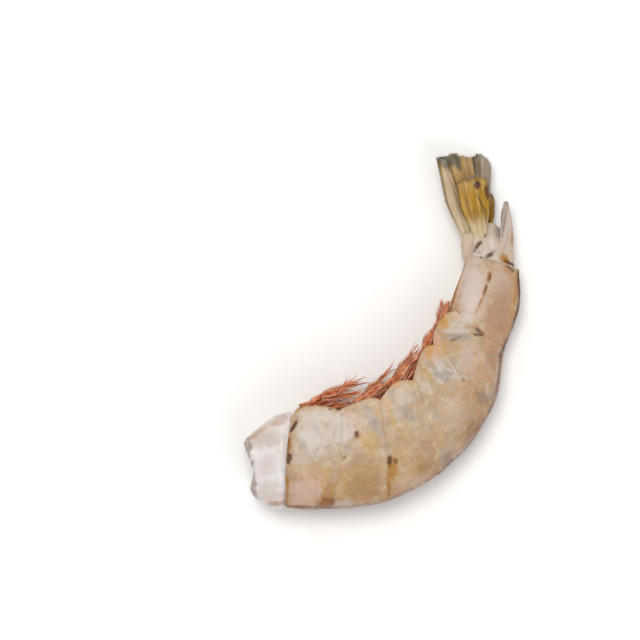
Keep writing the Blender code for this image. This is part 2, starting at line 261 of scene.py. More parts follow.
def grid_faces(rows, columns, closed):
    """The faces of a grid of points, whose columns may close into rings."""
    faces = []
    for i in range(rows - 1):
        for j in range(columns if closed else columns - 1):
            k = (j + 1) % columns
            faces.append((i * columns + j, i * columns + k, (i + 1) * columns + k, (i + 1) * columns + j))
    return faces


def ring_piece(name, rings, marks, material):
    """A closed body through rings of points, with a fan of faces over each end."""
    rows, columns = rings.shape[:2]
    vertices = np.concatenate([rings.reshape(-1, 3), rings[0].mean(0)[None], rings[-1].mean(0)[None]])
    faces = grid_faces(rows, columns, True)
    first, last = rows * columns, rows * columns + 1
    for j in range(columns):
        k = (j + 1) % columns
        faces.append((first, k, j))
        faces.append((last, (rows - 1) * columns + j, (rows - 1) * columns + k))
    laid = flat_marks(marks, (rows, columns))
    for label, values in laid.items():
        ends = [values[:columns].mean(0), values[-columns:].mean(0)]
        laid[label] = np.concatenate([values, np.array(ends).reshape((2,) + values.shape[1:])])
    return make_piece(name, vertices, faces, laid, material)


def sheet_piece(name, top, bottom, marks, material):
    """A thin closed body between two grids of points that share their edges' layout."""
    rows, columns = top.shape[:2]
    count = rows * columns
    vertices = np.concatenate([top.reshape(-1, 3), bottom.reshape(-1, 3)])
    faces = []
    for a, b, c, d in grid_faces(rows, columns, False):
        faces.append((a, b, c, d))
        faces.append((count + d, count + c, count + b, count + a))
    border = list(range(columns))
    border += [i * columns + columns - 1 for i in range(1, rows)]
    border += [(rows - 1) * columns + j for j in range(columns - 2, -1, -1)]
    border += [i * columns for i in range(rows - 2, 0, -1)]
    for a, b in zip(border, border[1:] + border[:1]):
        faces.append((b, a, count + a, count + b))
    laid = {k: np.concatenate([v, v]) for k, v in flat_marks(marks, (rows, columns)).items()}
    return make_piece(name, vertices, faces, laid, material)


def bristles(name, roots, directions, lengths, droop, width, material, shades=None):
    """Fine tapered hairs, three-sided, each bent by its own droop and dyed by its own shade."""
    t = np.linspace(0.0, 1.0, BRISTLE_STEPS)
    side = unit(np.cross(directions, ASKEW))
    other = unit(np.cross(directions, side))
    out = lengths[:, None] * t
    centres = step(roots[:, None], (directions[:, None], out), (droop[:, None], out * t))
    turn = round_ring(3)
    thick = width * (1 - BRISTLE_TAPER * t)[:, None]
    across = ((side[:, None, None], thick * np.cos(turn)), (other[:, None, None], thick * np.sin(turn)))
    vertices = step(centres[:, :, None], *across).reshape(-1, 3)
    corners = 3 * BRISTLE_STEPS
    hair = grid_faces(BRISTLE_STEPS, 3, True) + [(2, 1, 0), (corners - 3, corners - 2, corners - 1)]
    faces = [tuple(v + first for v in face) for first in range(0, len(vertices), corners) for face in hair]
    shades = np.zeros(len(roots)) if shades is None else shades
    marks = {"tip": np.tile(np.repeat(t, 3), len(roots)), "shade": np.repeat(shades, corners)}
    return make_piece(name, vertices, faces, marks, material)


# ---------------------------------------------------------------- colours that lie in patches

# The patches of each pigment, from the neck to the tail; a few, noted where they stand, are painted
# highlight and painted shade. Each patch: its place on the body (along, towards the back), its half
# length along and half width across, how far it leans, and its strength.
SHELL_PATCHES = {
    "pale": (
        (12.4, -1.6, 3.0, 1.8, 0, 0.5), (14.6, -6.4, 4.6, 4.8, 10, 0.9), (15.6, -11.2, 5.4, 1.8, 0, 0.8),
        (19.0, -2.6, 3.0, 1.4, 0, 0.35), (20.6, -7.6, 4.0, 4.4, 0, 0.75), (24.0, 10.2, 2.4, 1.0, 0, 0.5),
        (25.8, -4.4, 1.8, 1.0, 0, 0.2), (38.0, -9.0, 2.0, 2.4, 0, 0.45), (41.0, -9.6, 1.8, 2.6, 20, 0.5),
        # (49.6, 11.0) is a white streak along the outline of the back on the fourth plate: painted highlight.
        (47.6, -6.8, 1.2, 3.0, 35, 0.5), (49.6, 11.0, 4.6, 0.4, 0, 0.45), (51.7, -8.2, 0.5, 2.2, 38, 0.95),
        (54.2, -6.6, 3.0, 2.4, 20, 0.75), (55.4, -3.2, 0.28, 2.6, 47, 0.75),
        (56.9, -3.6, 0.3, 2.8, 25, 0.9), (57.2, -0.4, 0.45, 1.6, -20, 0.35),
        (57.6, -2.3, 0.8, 0.9, 0, 0.95), (58.1, -3.4, 0.32, 2.4, -3, 0.8), (58.8, 0.2, 0.45, 2.2, 32, 0.4),
        # (63.6, 7.6) is a pale strip just inside the outline of the back on the fifth plate: painted
        # highlight.
        (59.6, -2.4, 1.8, 0.5, 0, 0.5), (63.6, 7.6, 3.6, 0.5, 22, 0.5), (64.9, -7.0, 0.36, 4.4, 42, 0.9),
        (66.2, -5.4, 0.4, 3.4, 42, 0.8), (66.6, -6.4, 1.4, 2.4, 40, 0.65), (70.6, -4.4, 1.4, 2.2, 0, 0.5),
        (78.0, -4.6, 7.0, 2.4, 0, 0.5),
    ),
    "blush": (
        (13.0, 9.2, 2.4, 0.8, 0, 0.4), (14.0, 6.6, 4.8, 3.6, 0, 0.8), (20.4, -10.6, 3.2, 1.5, 0, 0.6),
        (24.6, -8.6, 2.2, 3.2, 0, 0.6), (28.4, -10.6, 1.2, 2.0, 25, 0.5), (36.6, 8.6, 1.6, 2.0, -40, 0.5),
        (38.8, 10.2, 2.2, 1.4, 0, 0.7), (50.4, 3.0, 3.4, 3.4, 0, 0.45), (51.0, -11.0, 1.4, 2.4, 20, 0.5),
        (55.6, -9.4, 2.0, 1.6, 20, 0.4), (56.0, -3.0, 2.4, 3.0, 20, 0.4), (63.0, -0.6, 3.6, 3.0, 20, 0.55),
        (64.9, 3.2, 0.9, 5.4, -29, 0.55), (78.6, -4.8, 10.5, 4.2, 0, 1.0), (84.0, 2.0, 4.4, 2.6, 0, 0.6),
    ),
    "grey": (
        (12.2, -5.0, 0.9, 1.6, 20, 0.45), (14.8, -8.6, 0.8, 1.8, 40, 0.3), (23.2, -3.0, 1.3, 1.1, -50, 0.6),
        (30.1, -8.9, 1.5, 5.4, 27, 0.7), (31.6, -6.0, 0.9, 2.4, 27, 0.6), (33.5, -1.2, 0.35, 2.2, 0, 0.45),
        (36.6, -12.6, 1.5, 1.3, 20, 0.6), (40.4, -5.4, 1.1, 4.0, 37, 0.75), (43.6, -0.6, 0.6, 1.2, 30, 0.6),
        (45.8, 9.4, 1.5, 2.6, 0, 0.6), (46.6, -2.4, 0.7, 1.8, 40, 0.5), (48.0, 1.0, 0.5, 2.2, 15, 0.4),
        (48.6, 6.0, 2.4, 1.6, 20, 0.3), (52.4, 6.5, 2.4, 2.6, 0, 0.25), (52.6, -8.6, 0.9, 2.6, 38, 0.8),
        (54.0, -4.8, 0.8, 3.4, 38, 0.85), (56.1, -3.9, 0.32, 2.8, 36, 0.85),
        (57.5, -4.2, 0.28, 2.4, 10, 0.7), (58.0, 6.8, 1.3, 2.2, 0, 0.5), (59.0, -3.6, 0.28, 1.8, -16, 0.55),
        (59.2, 8.6, 0.8, 1.4, 0, 0.6), (64.5, -5.6, 0.7, 5.4, 42, 0.65), (78.0, 2.6, 8.0, 3.0, 0, 0.3),
    ),
    "gold": (
        (9.2, 6.4, 0.5, 5.0, 0, 0.7), (12.8, 0.8, 3.2, 0.5, 0, 0.5), (19.2, 3.4, 0.8, 3.4, -8, 0.45),
        (27.2, 4.5, 4.8, 4.2, 0, 0.55), (28.8, -3.4, 2.8, 3.4, 0, 0.75), (32.2, -9.0, 0.6, 2.4, 14, 0.5),
        (34.1, 4.6, 1.8, 2.8, 0, 0.9), (35.7, -6.6, 0.7, 3.4, 8, 0.75), (37.6, 2.6, 3.4, 3.6, 0, 0.3),
        (38.6, -2.6, 2.2, 1.8, 0, 0.55), (39.6, 7.6, 3.8, 3.0, 0, 0.4), (43.0, -11.6, 1.6, 2.2, 30, 0.4),
        (47.0, 6.0, 2.4, 2.6, 0, 0.3), (49.6, -9.2, 1.6, 3.0, 30, 0.6), (52.6, -3.6, 0.7, 2.6, 38, 0.5),
        (61.6, -5.6, 1.2, 3.4, 40, 0.25), (65.8, -9.2, 2.0, 2.0, 0, 0.45),
    ),
    "pink": (
        (13.4, 9.2, 4.4, 1.3, 0, 0.75), (15.2, 6.0, 5.2, 3.8, 0, 0.55), (27.6, 9.4, 2.8, 0.5, 0, 0.7),
        (57.6, -10.0, 3.4, 2.0, 20, 0.7), (62.0, 3.0, 2.6, 2.0, 0, 0.3), (71.0, -7.6, 2.4, 1.4, 0, 0.8),
        (77.5, 3.6, 9.5, 3.4, 0, 0.6),
    ),
    "amber": (
        (26.4, -5.5, 1.0, 1.3, 30, 0.35), (34.5, -1.0, 0.5, 2.8, 0, 0.2), (34.9, -11.4, 1.3, 1.3, 0, 0.5),
        (39.4, -14.2, 2.6, 1.0, 0, 0.7), (54.8, -11.4, 3.0, 1.5, 10, 0.9), (58.6, -8.2, 2.4, 1.8, 20, 0.35),
        (64.0, -11.0, 2.2, 2.0, 0, 0.6), (78.0, -8.2, 9.0, 0.5, -6, 0.55), (79.0, 6.2, 8.4, 0.5, 2, 0.5),
    ),
    "dusk": (
        # (13.8, 10.6), (41.6, 11.8) and (64.0, 7.9) are thin dark lines along the outline of the back: partly
        # the shell's own brown, partly painted shade where the back turns away.
        (9.1, 6.2, 0.42, 5.0, 0, 0.45), (13.8, 10.6, 6.6, 0.42, -4, 0.75), (20.4, 10.0, 1.8, 1.8, -6, 0.9),
        (27.2, -0.4, 3.4, 3.0, 0, 0.16), (28.4, 6.6, 4.0, 4.4, 0, 0.28), (41.5, 6.0, 3.0, 4.0, -14, 0.25),
        (41.6, 11.8, 3.6, 0.5, 0, 0.45), (45.7, 10.6, 1.0, 1.8, 0, 0.35), (52.4, 10.2, 3.2, 2.2, 0, 0.42),
        (57.6, 6.6, 1.3, 2.4, 0, 0.25), (64.0, 7.9, 5.4, 0.35, 17, 0.85), (66.0, 5.2, 3.0, 2.2, 0, 0.2),
        (76.0, 3.2, 6.0, 3.0, 0, 0.24),
    ),
    "rust": (
        # (9.1, -4.4) darkens the front edge of the first plate: painted shadow in the slit between the neck
        # and the plate. (14.0, 11.5) is a thin line along the outline of the back: partly the shell's own
        # colour, partly painted shade.
        (9.0, 8.0, 0.4, 2.8, 0, 0.25), (9.1, -4.4, 0.6, 3.0, 0, 0.85), (9.1, 3.2, 0.6, 1.2, 0, 0.7),
        (14.0, 11.5, 5.6, 0.3, -4, 0.4), (20.2, 8.0, 1.6, 3.8, -6, 0.6), (20.4, 10.4, 1.6, 1.2, 0, 0.35),
        (25.8, -6.2, 1.0, 1.1, 0, 0.7), (33.0, 7.8, 0.4, 2.8, 0, 0.85), (33.9, 4.5, 1.3, 2.3, 0, 0.85),
        (34.8, 2.7, 0.8, 1.1, 0, 0.7), (64.4, -11.2, 1.5, 1.7, 30, 0.35), (70.4, -0.9, 1.3, 1.7, 0, 0.6),
        (73.6, -2.5, 1.4, 0.3, -10, 0.5), (76.4, -1.95, 1.6, 0.35, -10, 0.9),
        (80.0, -1.3, 1.8, 0.4, -10, 0.7), (82.4, 6.2, 5.0, 0.35, 4, 0.5), (83.4, -0.75, 1.5, 0.6, -10, 1.0),
        (86.6, 3.4, 0.8, 1.4, -20, 0.5),
    ),
    "ink": (
        # (8.8, -4.2), (9.3, -1.6) and (9.6, -9.3) are painted shadow in the slit between the neck and the
        # first plate. (20.0, 11.6), (71.0, 7.15), (76.8, 7.55) and (83.9, 6.95) are dark lines along the
        # outline of the back: partly the shell's own brown, partly painted shade.
        (8.8, -4.2, 0.35, 2.6, 0, 0.5), (9.3, -1.6, 0.75, 1.4, 0, 1.0), (9.6, -9.3, 0.5, 1.6, -18, 1.0),
        (18.4, -12.8, 0.8, 0.3, 0, 0.7), (20.0, 11.6, 3.4, 0.36, 0, 0.8), (20.1, -12.2, 0.3, 0.35, 0, 0.6),
        (22.4, -0.8, 0.35, 1.0, -35, 0.55), (25.7, -6.3, 0.6, 0.75, 0, 1.0),
        (33.4, 1.9, 0.65, 1.2, 8, 0.95), (34.9, 2.6, 0.5, 0.8, 20, 0.6), (58.3, 0.5, 0.45, 0.45, 0, 0.4),
        (62.8, -12.2, 0.5, 0.9, 0, 0.5), (63.8, -5.8, 0.3, 1.9, 55, 0.5), (69.4, -0.3, 0.36, 1.5, 35, 0.9),
        (70.4, -0.5, 0.6, 0.95, 0, 1.0), (71.0, 7.15, 3.2, 0.42, -7, 0.85),
        (76.8, 7.55, 4.4, 0.42, 0, 0.85), (80.2, -1.3, 1.1, 0.28, -10, 0.85),
        (83.6, -0.7, 1.2, 0.3, -10, 0.85), (83.9, 6.95, 4.0, 0.42, 10, 0.85),
        (87.1, 4.3, 0.4, 1.5, -20, 0.8),
    ),
}
MEAT_PATCHES = {
    "blush": ((3.4, 0.6, 2.4, 3.0, 0, 0.35),),
    "grey": ((4.4, -6.4, 4.0, 2.0, 0, 0.5), (4.6, 4.6, 2.6, 2.2, 0, 0.35)),
    "gold": (
        (3.4, -8.2, 3.4, 1.6, 30, 0.6), (4.6, -7.2, 4.0, 2.6, 20, 0.4), (4.6, 5.8, 3.4, 2.4, 0, 0.35),
        (7.4, -5.0, 1.2, 3.6, 0, 0.35),
    ),
    "pink": ((3.0, -7.0, 2.0, 1.4, 0, 0.4), (5.6, 8.0, 4.0, 1.6, 0, 0.4)),
    "rust": (
        (2.2, -8.0, 2.8, 0.6, 38, 0.55), (6.0, 9.2, 4.4, 0.8, 0, 0.75), (6.6, -10.8, 2.4, 1.2, 20, 0.6),
    ),
    "ink": ((5.6, -11.8, 2.6, 0.3, 30, 0.5),),
}
PIGMENTS = ("pale", "blush", "grey", "gold", "pink", "amber", "dusk", "rust", "ink")
PATCH_RAGGEDNESS = 0.45
# A patch is gone at this many times its half size, and fades over this much of it.
PATCH_END = 1.3
PATCH_FADE = 0.75


def lay_pigments(patches, s, back, points):
    """For each pigment, how much of it lies at each point: soft patches with ragged edges."""
    amounts = {pigment: np.zeros(s.shape) for pigment in PIGMENTS}
    ragged = dents(points, (0.6, 1.3, 0.0), (0.4, 0.6, 7.0))
    for pigment, rows in patches.items():
        for at_s, at_back, half_length, half_width, lean, strength in rows:
            lean = math.radians(lean)
            ds, db = s - at_s, back - at_back
            u = (ds * math.cos(lean) - db * math.sin(lean)) / half_length
            v = (ds * math.sin(lean) + db * math.cos(lean)) / half_width
            reach = np.sqrt(u * u + v * v) + ragged * PATCH_RAGGEDNESS
            patch = strength * ease((PATCH_END - reach) / PATCH_FADE)
            amounts[pigment] = np.maximum(amounts[pigment], patch)
    return amounts


# ---------------------------------------------------------------- materials

MAP_SOCKETS = ("From Min", "From Max", "To Min", "To Max")
# Mix nodes carry one set of sockets for each kind of value; these are the colour ones.
MIX_A, MIX_B, MIX_OUT = 6, 7, 2


def paint(code):
    """An sRGB hex colour as linear light."""
    parts = [int(code[i:i + 2], 16) / 255 for i in (1, 3, 5)]
    linear = [c / 12.92 if c <= 0.04045 else ((c + 0.055) / 1.055) ** 2.4 for c in parts]
    return (*linear, 1.0)


def per_mm(millimetres):
    """The texture scale whose pattern repeats at about this many millimetres."""
    return 1.0 / (millimetres * MM)


def add_node(tree, kind, links=None, values=None, **settings):
    """A node with its settings, its fixed inputs and its links. A link comes from a socket, from the
    first output of a node, or from the marks of a name."""
    made = tree.nodes.new("ShaderNode" + kind)
    for key, value in settings.items():
        setattr(made, key, value)
    for key, value in (values or {}).items():
        made.inputs[key].default_value = value
    for key, source in (links or {}).items():
        if isinstance(source, str):
            marks = add_node(tree, "Attribute", attribute_name=source)
            source = marks.outputs["Vector" if key == "Vector" else "Fac"]
        elif isinstance(source, bpy.types.Node):
            source = source.outputs[0]
        tree.links.new(source, made.inputs[key])
    return made


def new_material(name, shader_values):
    """A material whose shader starts from these values."""
    material = bpy.data.materials.new(name)
    material.use_nodes = True
    tree = material.node_tree
    shader = tree.nodes["Principled BSDF"]
    for key, value in shader_values.items():
        shader.inputs[key].default_value = value
    return material, tree, shader


def set_stops(tone, *stops):
    """The places and colours of a ramp."""
    elements = tone.color_ramp.elements
    for end, (position, code) in zip((0, -1), (stops[0], stops[-1])):
        elements[end].position = position
        elements[end].color = paint(code)
    for position, code in stops[1:-1]:
        elements.new(position).color = paint(code)
    return tone.outputs["Color"]


def mottling(tree, vector, scale, detail, span, share=(0.0, 1.0), **more):
    """How much of something shows: a noise pattern, whose value over a span sets the share."""
    pattern = add_node(tree, "TexNoise", {"Vector": vector}, {"Scale": scale, "Detail": detail, **more})
    return add_node(tree, "MapRange", {"Value": pattern}, dict(zip(MAP_SOCKETS, span + share)))


def lay_over(tree, under, code, *amounts):
    """A colour laid over what is under it, by the product of the amounts."""
    amount = amounts[0]
    for other in amounts[1:]:
        amount = add_node(tree, "Math", {0: amount, 1: other}, operation="MULTIPLY", use_clamp=True)
    mixed = add_node(tree, "Mix", {0: amount, MIX_A: under}, {MIX_B: paint(code)}, data_type="RGBA")
    return mixed.outputs[MIX_OUT]


def dye(tree, under, place, pigments):
    """Pigments laid over one another, each by its own marks and broken up by mottling of its grain."""
    for name, code, grain, least in pigments:
        breaks = mottling(tree, place, per_mm(grain), 3.0, (0.3, 0.7), (least, 1.0))
        under = lay_over(tree, under, code, name, breaks)
    return under


def roughen(tree, shader, place, *layers):
    """Fine relief in layers, each with its grain, detail, strength and height."""
    links = {}
    for grain, detail, strength, height in layers:
        links["Height"] = add_node(
            tree, "TexNoise", {"Vector": place}, {"Scale": per_mm(grain), "Detail": detail}
        )
        links["Normal"] = add_node(tree, "Bump", links, {"Strength": strength, "Distance": height * MM})
    tree.links.new(links["Normal"].outputs[0], shader.inputs["Normal"])


# Each pigment: its name, its colour, the grain of its mottling, and how much of it stays at the least.
SHELL_PIGMENTS = (
    ("gold", "#bd9850", 3.0, 0.45), ("pink", "#cf9977", 4.0, 0.55),
    ("blush", "#cbb2a4", 3.4, 0.6), ("amber", "#cb9038", 2.4, 0.5),
    ("pale", "#cbc2ba", 2.6, 0.55), ("grey", "#968e87", 1.8, 0.5),
    ("dusk", "#733a08", 3.0, 0.8), ("rust", "#a4680a", 1.6, 0.7),
    ("ink", "#4c2702", 1.2, 0.9),
)
MEAT_PIGMENTS = (
    ("gold", "#c9ae8a", 2.5, 0.4), ("pink", "#d2ab97", 3.0, 0.5),
    ("blush", "#d6c3ba", 3.0, 0.5), ("grey", "#c0b8b2", 2.0, 0.4),
    ("rust", "#a9764a", 1.5, 0.6), ("band", "#8d7668", 0.9, 0.3),
    ("ink", "#4b3423", 1.0, 0.7), ("belly", "#b86238", 2.0, 0.35),
)
HORN_PIGMENTS = tuple((name, code, 1.4, 0.75) for name, code in (
    ("rib", "#c2ae98"), ("mist", "#8b8680"), ("slate", "#514f44"), ("dusk", "#6b4e1e"),
    ("ink", "#45200a"), ("pink", "#cfbf9e"),
))
# Cloudy mottling in the shell: its grain, its colour, where it starts and is full, and its strength.
SHELL_CLOUDS = (
    (6.5, "#a98a6c", 0.5, 0.66, 0.6), (4.6, "#cdb99e", 0.5, 0.66, 0.65),
    (3.4, "#a0978f", 0.54, 0.66, 0.45), (2.8, "#c8946a", 0.54, 0.68, 0.6),
    (2.2, "#c0a266", 0.54, 0.68, 0.5), (1.6, "#88693f", 0.56, 0.7, 0.35),
    (1.1, "#d8c9b8", 0.56, 0.7, 0.3),
)


def raw_shell():
    """Raw shrimp shell: a thin, clear, wet horny skin over white meat. The eye sees tan and grey
    through it, mottled by pigment cells a fraction of a millimetre wide, under a soft wet gloss."""
    material, tree, shader = new_material("raw_shrimp_shell", {
        "Roughness": 0.42, "IOR": 1.45, "Specular IOR Level": 0.3, "Subsurface Weight": 0.05,
        "Subsurface Scale": 0.7 * MM, "Subsurface Radius": (1.0, 0.62, 0.42),
        "Coat Weight": 0.28, "Coat Roughness": 0.22, "Coat IOR": 1.34,
    })
    place = add_node(tree, "TexCoord").outputs["Object"]
    # From the belly's edge, at -1, to the ridge of the back, at 1. The last stop darkens steeply at the
    # ridge, where the back turns away from the camera and the lamps: painted shade along that outline,
    # over the darker tan that the back has of itself.
    level = add_node(tree, "MapRange", {"Value": "towards_back"}, {"From Min": -1.0})
    colour = set_stops(
        add_node(tree, "ValToRGB", {"Fac": level}), (0.0, "#b8946f"), (0.2, "#b39d84"), (0.48, "#b89d80"),
        (0.75, "#bd9a75"), (0.94, "#b98f67"), (1.0, "#74431e"),
    )
    # Pigment drifts through the skin in clouds of several hues, 7 down to 1 mm apart.
    for grain, code, low, high, strength in SHELL_CLOUDS:
        cloud = mottling(
            tree, place, per_mm(grain), 4.0, (low, high), (0.0, strength), Roughness=0.6, Distortion=0.8
        )
        colour = lay_over(tree, colour, code, cloud)
    # Faint bands square to the body, 3 mm apart, where muscle shows through.
    colour = lay_over(tree, colour, "#a78a6c", mottling(tree, "skin", 1.0, 2.0, (0.5, 0.75), (0.0, 0.35)))
    # Pigment cells: a grain of dark and pale flecks 0.7 mm apart.
    flecks = add_node(
        tree, "TexNoise", {"Vector": place}, {"Scale": per_mm(0.7), "Detail": 3.0, "Roughness": 0.7}
    )
    for code, values in (("#6d4f30", (0.54, 0.72, 0.0, 0.16)), ("#e6d8c8", (0.46, 0.3, 0.0, 0.14))):
        fleck = add_node(tree, "MapRange", {"Value": flecks}, dict(zip(MAP_SOCKETS, values)))
        colour = lay_over(tree, colour, code, fleck)
    colour = dye(tree, colour, place, SHELL_PIGMENTS)
    # The hem of each plate is thicker, and amber.
    edge = add_node(tree, "MapRange", {"Value": "hem"}, dict(zip(MAP_SOCKETS, (0.05, 0.5, 0.18, 0.0))))
    colour = lay_over(tree, colour, "#9a6a3a", edge, mottling(tree, place, per_mm(3.5), 2.0, (0.4, 0.62)))
    tree.links.new(colour, shader.inputs["Base Color"])
    # Damp and drier spots 4 mm apart, creases 1.4 mm apart and pits 0.4 mm apart.
    gloss = mottling(tree, place, per_mm(4.0), 3.0, (0.3, 0.7), (0.34, 0.56))
    tree.links.new(gloss.outputs["Result"], shader.inputs["Roughness"])
    roughen(tree, shader, place, (1.4, 4.0, 0.6, 0.4), (0.4, 2.0, 0.35, 0.1))
    return material


def raw_meat():
    """Raw shrimp meat: firm wet muscle, milky white with a lilac tint. Light sinks in a few
    millimetres, and the cut shows the muscle's bundles."""
    material, tree, shader = new_material("raw_shrimp_meat", {
        "Roughness": 0.36, "IOR": 1.4, "Subsurface Weight": 0.5, "Subsurface Scale": 2.0 * MM,
        "Subsurface Radius": (1.0, 0.55, 0.45), "Coat Weight": 0.3, "Coat Roughness": 0.18, "Coat IOR": 1.34,
    })
    place = add_node(tree, "TexCoord").outputs["Object"]
    clouds = add_node(tree, "TexNoise", {"Vector": place}, {"Scale": per_mm(5.0), "Detail": 4.0})
    colour = set_stops(add_node(tree, "ValToRGB", {"Fac": clouds}), (0.3, "#d8cfcd"), (0.7, "#efebeb"))
    # Muscle fibres run along the body, 0.5 mm apart.
    colour = lay_over(tree, colour, "#cdbab2", mottling(tree, "fibre", 1.0, 3.0, (0.5, 0.75), (0.0, 0.22)))
    # Muscle bundles on the cut, 1.3 mm across and uneven, with thin greyer seams between them.
    drift = add_node(tree, "TexNoise", {"Vector": place}, {"Scale": per_mm(2.2), "Detail": 3.0})
    moved = add_node(
        tree, "VectorMath", {0: drift.outputs["Color"]}, {1: (3 * MM, 3 * MM, 3 * MM)}, operation="MULTIPLY"
    )
    warped = add_node(tree, "VectorMath", {0: place, 1: moved}, operation="ADD")
    bundles = add_node(
        tree, "TexVoronoi", {"Vector": warped}, {"Scale": per_mm(1.3)}, feature="DISTANCE_TO_EDGE"
    )
    seams = add_node(tree, "MapRange", {"Value": bundles}, dict(zip(MAP_SOCKETS, (0.0, 0.3, 0.3, 0.05))))
    colour = lay_over(tree, colour, "#a88f8a", "cut", seams)
    colour = dye(tree, colour, place, MEAT_PIGMENTS)
    colour = lay_over(tree, colour, "#4a382c", "vein")
    tree.links.new(colour, shader.inputs["Base Color"])
    roughen(tree, shader, place, (0.9, 4.0, 0.4, 0.3))
    return material


def tail_horn():
    """Tail fan: stiff horny blades, amber to olive, with pale ribs and slate tips, wet and glossy."""
    material, tree, shader = new_material("tail_fan_horn", {
        "Roughness": 0.38, "IOR": 1.54, "Specular IOR Level": 0.3, "Subsurface Weight": 0.1,
        "Subsurface Scale": 0.8 * MM, "Coat Weight": 0.22, "Coat Roughness": 0.2, "Coat IOR": 1.34,
    })
    place = add_node(tree, "TexCoord").outputs["Object"]
    colour = set_stops(
        add_node(tree, "ValToRGB", {"Fac": "out"}), (0.0, "#c8b38c"), (0.2, "#c4a870"), (0.38, "#ad8025"),
        (0.72, "#ab7d1f"), (0.9, "#ad8a45"), (1.0, "#8f713a"),
    )
    # Dark and light streaks along the blade, 0.7 mm apart.
    streaks = add_node(tree, "TexNoise", {"Vector": "grain"}, {"Scale": 1.0, "Detail": 3.0})
    for code, values in (("#5f4a1e", (0.52, 0.7, 0.0, 0.6)), ("#c9a75c", (0.3, 0.46, 0.6, 0.0))):
        streak = add_node(tree, "MapRange", {"Value": streaks}, dict(zip(MAP_SOCKETS, values)))
        colour = lay_over(tree, colour, code, streak)
    colour = dye(tree, colour, place, HORN_PIGMENTS)
    tree.links.new(colour, shader.inputs["Base Color"])
    ripples = add_node(tree, "Bump", {"Height": streaks}, {"Strength": 0.5, "Distance": 0.3 * MM})
    tree.links.new(ripples.outputs["Normal"], shader.inputs["Normal"])
    return material


def swimmeret_skin():
    """Swimming legs: soft, thin and wet, salmon to brick red, paler along their edges."""
    material, tree, shader = new_material("swimmeret_skin", {
        "Roughness": 0.4, "IOR": 1.45, "Subsurface Weight": 0.35, "Subsurface Scale": 1.2 * MM,
        "Subsurface Radius": (1.0, 0.4, 0.25), "Coat Weight": 0.3, "Coat Roughness": 0.2, "Coat IOR": 1.34,
    })
    place = add_node(tree, "TexCoord").outputs["Object"]
    clouds = add_node(tree, "TexNoise", {"Vector": place}, {"Scale": per_mm(1.8), "Detail": 3.0})
    colour = set_stops(
        add_node(tree, "ValToRGB", {"Fac": clouds}), (0.32, "#a3421a"), (0.5, "#d07442"), (0.7, "#e9a97e")
    )
    # Darker brick red by the root marks: the legs' own colour near their roots, and painted shade on the left
    # legs, which lie under the right ones.
    colour = lay_over(tree, colour, "#7a3414", "root")
    colour = lay_over(tree, colour, "#dba685", "rim")
    tree.links.new(colour, shader.inputs["Base Color"])
    roughen(tree, shader, place, (0.7, 3.0, 0.5, 0.3))
    return material


def bristle_horn(name, root_colour, tip_colour, other_colour):
    """Bristles and strands: fine clear hairs that pale towards the tip, some more of another shade."""
    material, tree, shader = new_material(name, {"Roughness": 0.4, "IOR": 1.54, "Coat Weight": 0.3})
    colour = set_stops(add_node(tree, "ValToRGB", {"Fac": "tip"}), (0.0, root_colour), (1.0, tip_colour))
    tree.links.new(lay_over(tree, colour, other_colour, "shade"), shader.inputs["Base Color"])
    return material


def white_board():
    """The ground: plain white board with a faint tooth."""
    material, tree, shader = new_material("white_board", {"Roughness": 0.7})
    place = add_node(tree, "TexCoord").outputs["Object"]
    tooth = add_node(tree, "TexNoise", {"Vector": place}, {"Scale": per_mm(9.0), "Detail": 2.0})
    tone = set_stops(add_node(tree, "ValToRGB", {"Fac": tooth}), (0.0, "#fbfbfa"), (1.0, "#fefefe"))
    tree.links.new(tone, shader.inputs["Base Color"])
    return material


SHELL = raw_shell()
MEAT = raw_meat()
TAIL = tail_horn()
SWIMMERET = swimmeret_skin()
TAIL_BRISTLE = bristle_horn("tail_bristle_horn", "#6d5d45", "#a3947c", "#8a7c66")
LEG_BRISTLE = bristle_horn("leg_bristle_horn", "#b9643c", "#e0ac8c", "#d89c78")
LEG_STRAND = bristle_horn("leg_strand_horn", "#a03a10", "#ee8440", "#eba26c")


def settle(piece, slot, *nodes):
    """The piece rides on the body and stands for these nodes. Its slot is not used."""
    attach(piece, "root")
    if nodes:
        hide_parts(*nodes)


# ---------------------------------------------------------------- meat

MEAT_SIDES = 168
# Rings over the cut face, round its rim, along the body and over the far end.
FACE_RINGS, RIM_RINGS, BODY_RINGS, END_RINGS = 22, 9, 210, 12
MEAT_DENTS = ((0.16, 4.0, 0.0), (0.06, 1.4, 3.0))
CUT_ROUNDING = 0.1
CUT_LIP = 0.7
CUT_DISH = 0.5
# The cut isn't straight: (towards the back, along), and how deep that shape reaches into the meat.
CUT_PROFILE = ((-8.0, -0.7), (-6.5, -0.7), (-3.2, -0.1), (0.5, 0.7), (4.5, -0.5), (6.5, -0.3), (8.5, 0.6))
CUT_PROFILE_DEPTH = 5.0
# The bare neck bulges out to the plates' line, on the belly and on the back.
NECK_BULGE = 1.1
NECK_BACK_BULGE = 0.75
NECK_BULGE_AT = 5.6
NECK_BULGE_REACH = 3.0
NECK_FULL_TO = 7.0
# A bar of muscle crosses the belly under each segment: its place there, its half width and depth.
BAR_PLACE = 0.35
BAR_WIDTH = 1.6
BAR_DEPTH = 0.5
MEAT_END_MARGIN = 3.2
STUB_LENGTH = 6.0
VEIN = (5.2, 0.0)
VEIN_WIDTH = 0.55
# The skin shrinks back from the cut in a grey and pinkish band, with a ragged end.
BAND_WIDTH = 1.15
BAND_RAGGEDNESS = (0.5, 1.6, 9.0)
BAND_FADE = 0.5
# The look of the cut ends near its rim: at this share of the way out, fading over this much more.
CUT_LOOK_TO = 0.86
CUT_LOOK_FADE = 0.12
# The belly is tinted from this share of the way down, fading in over this much more.
BELLY_TINT_FROM = 0.55
BELLY_TINT_FADE = 0.4
TINT_STRENGTH = 0.9


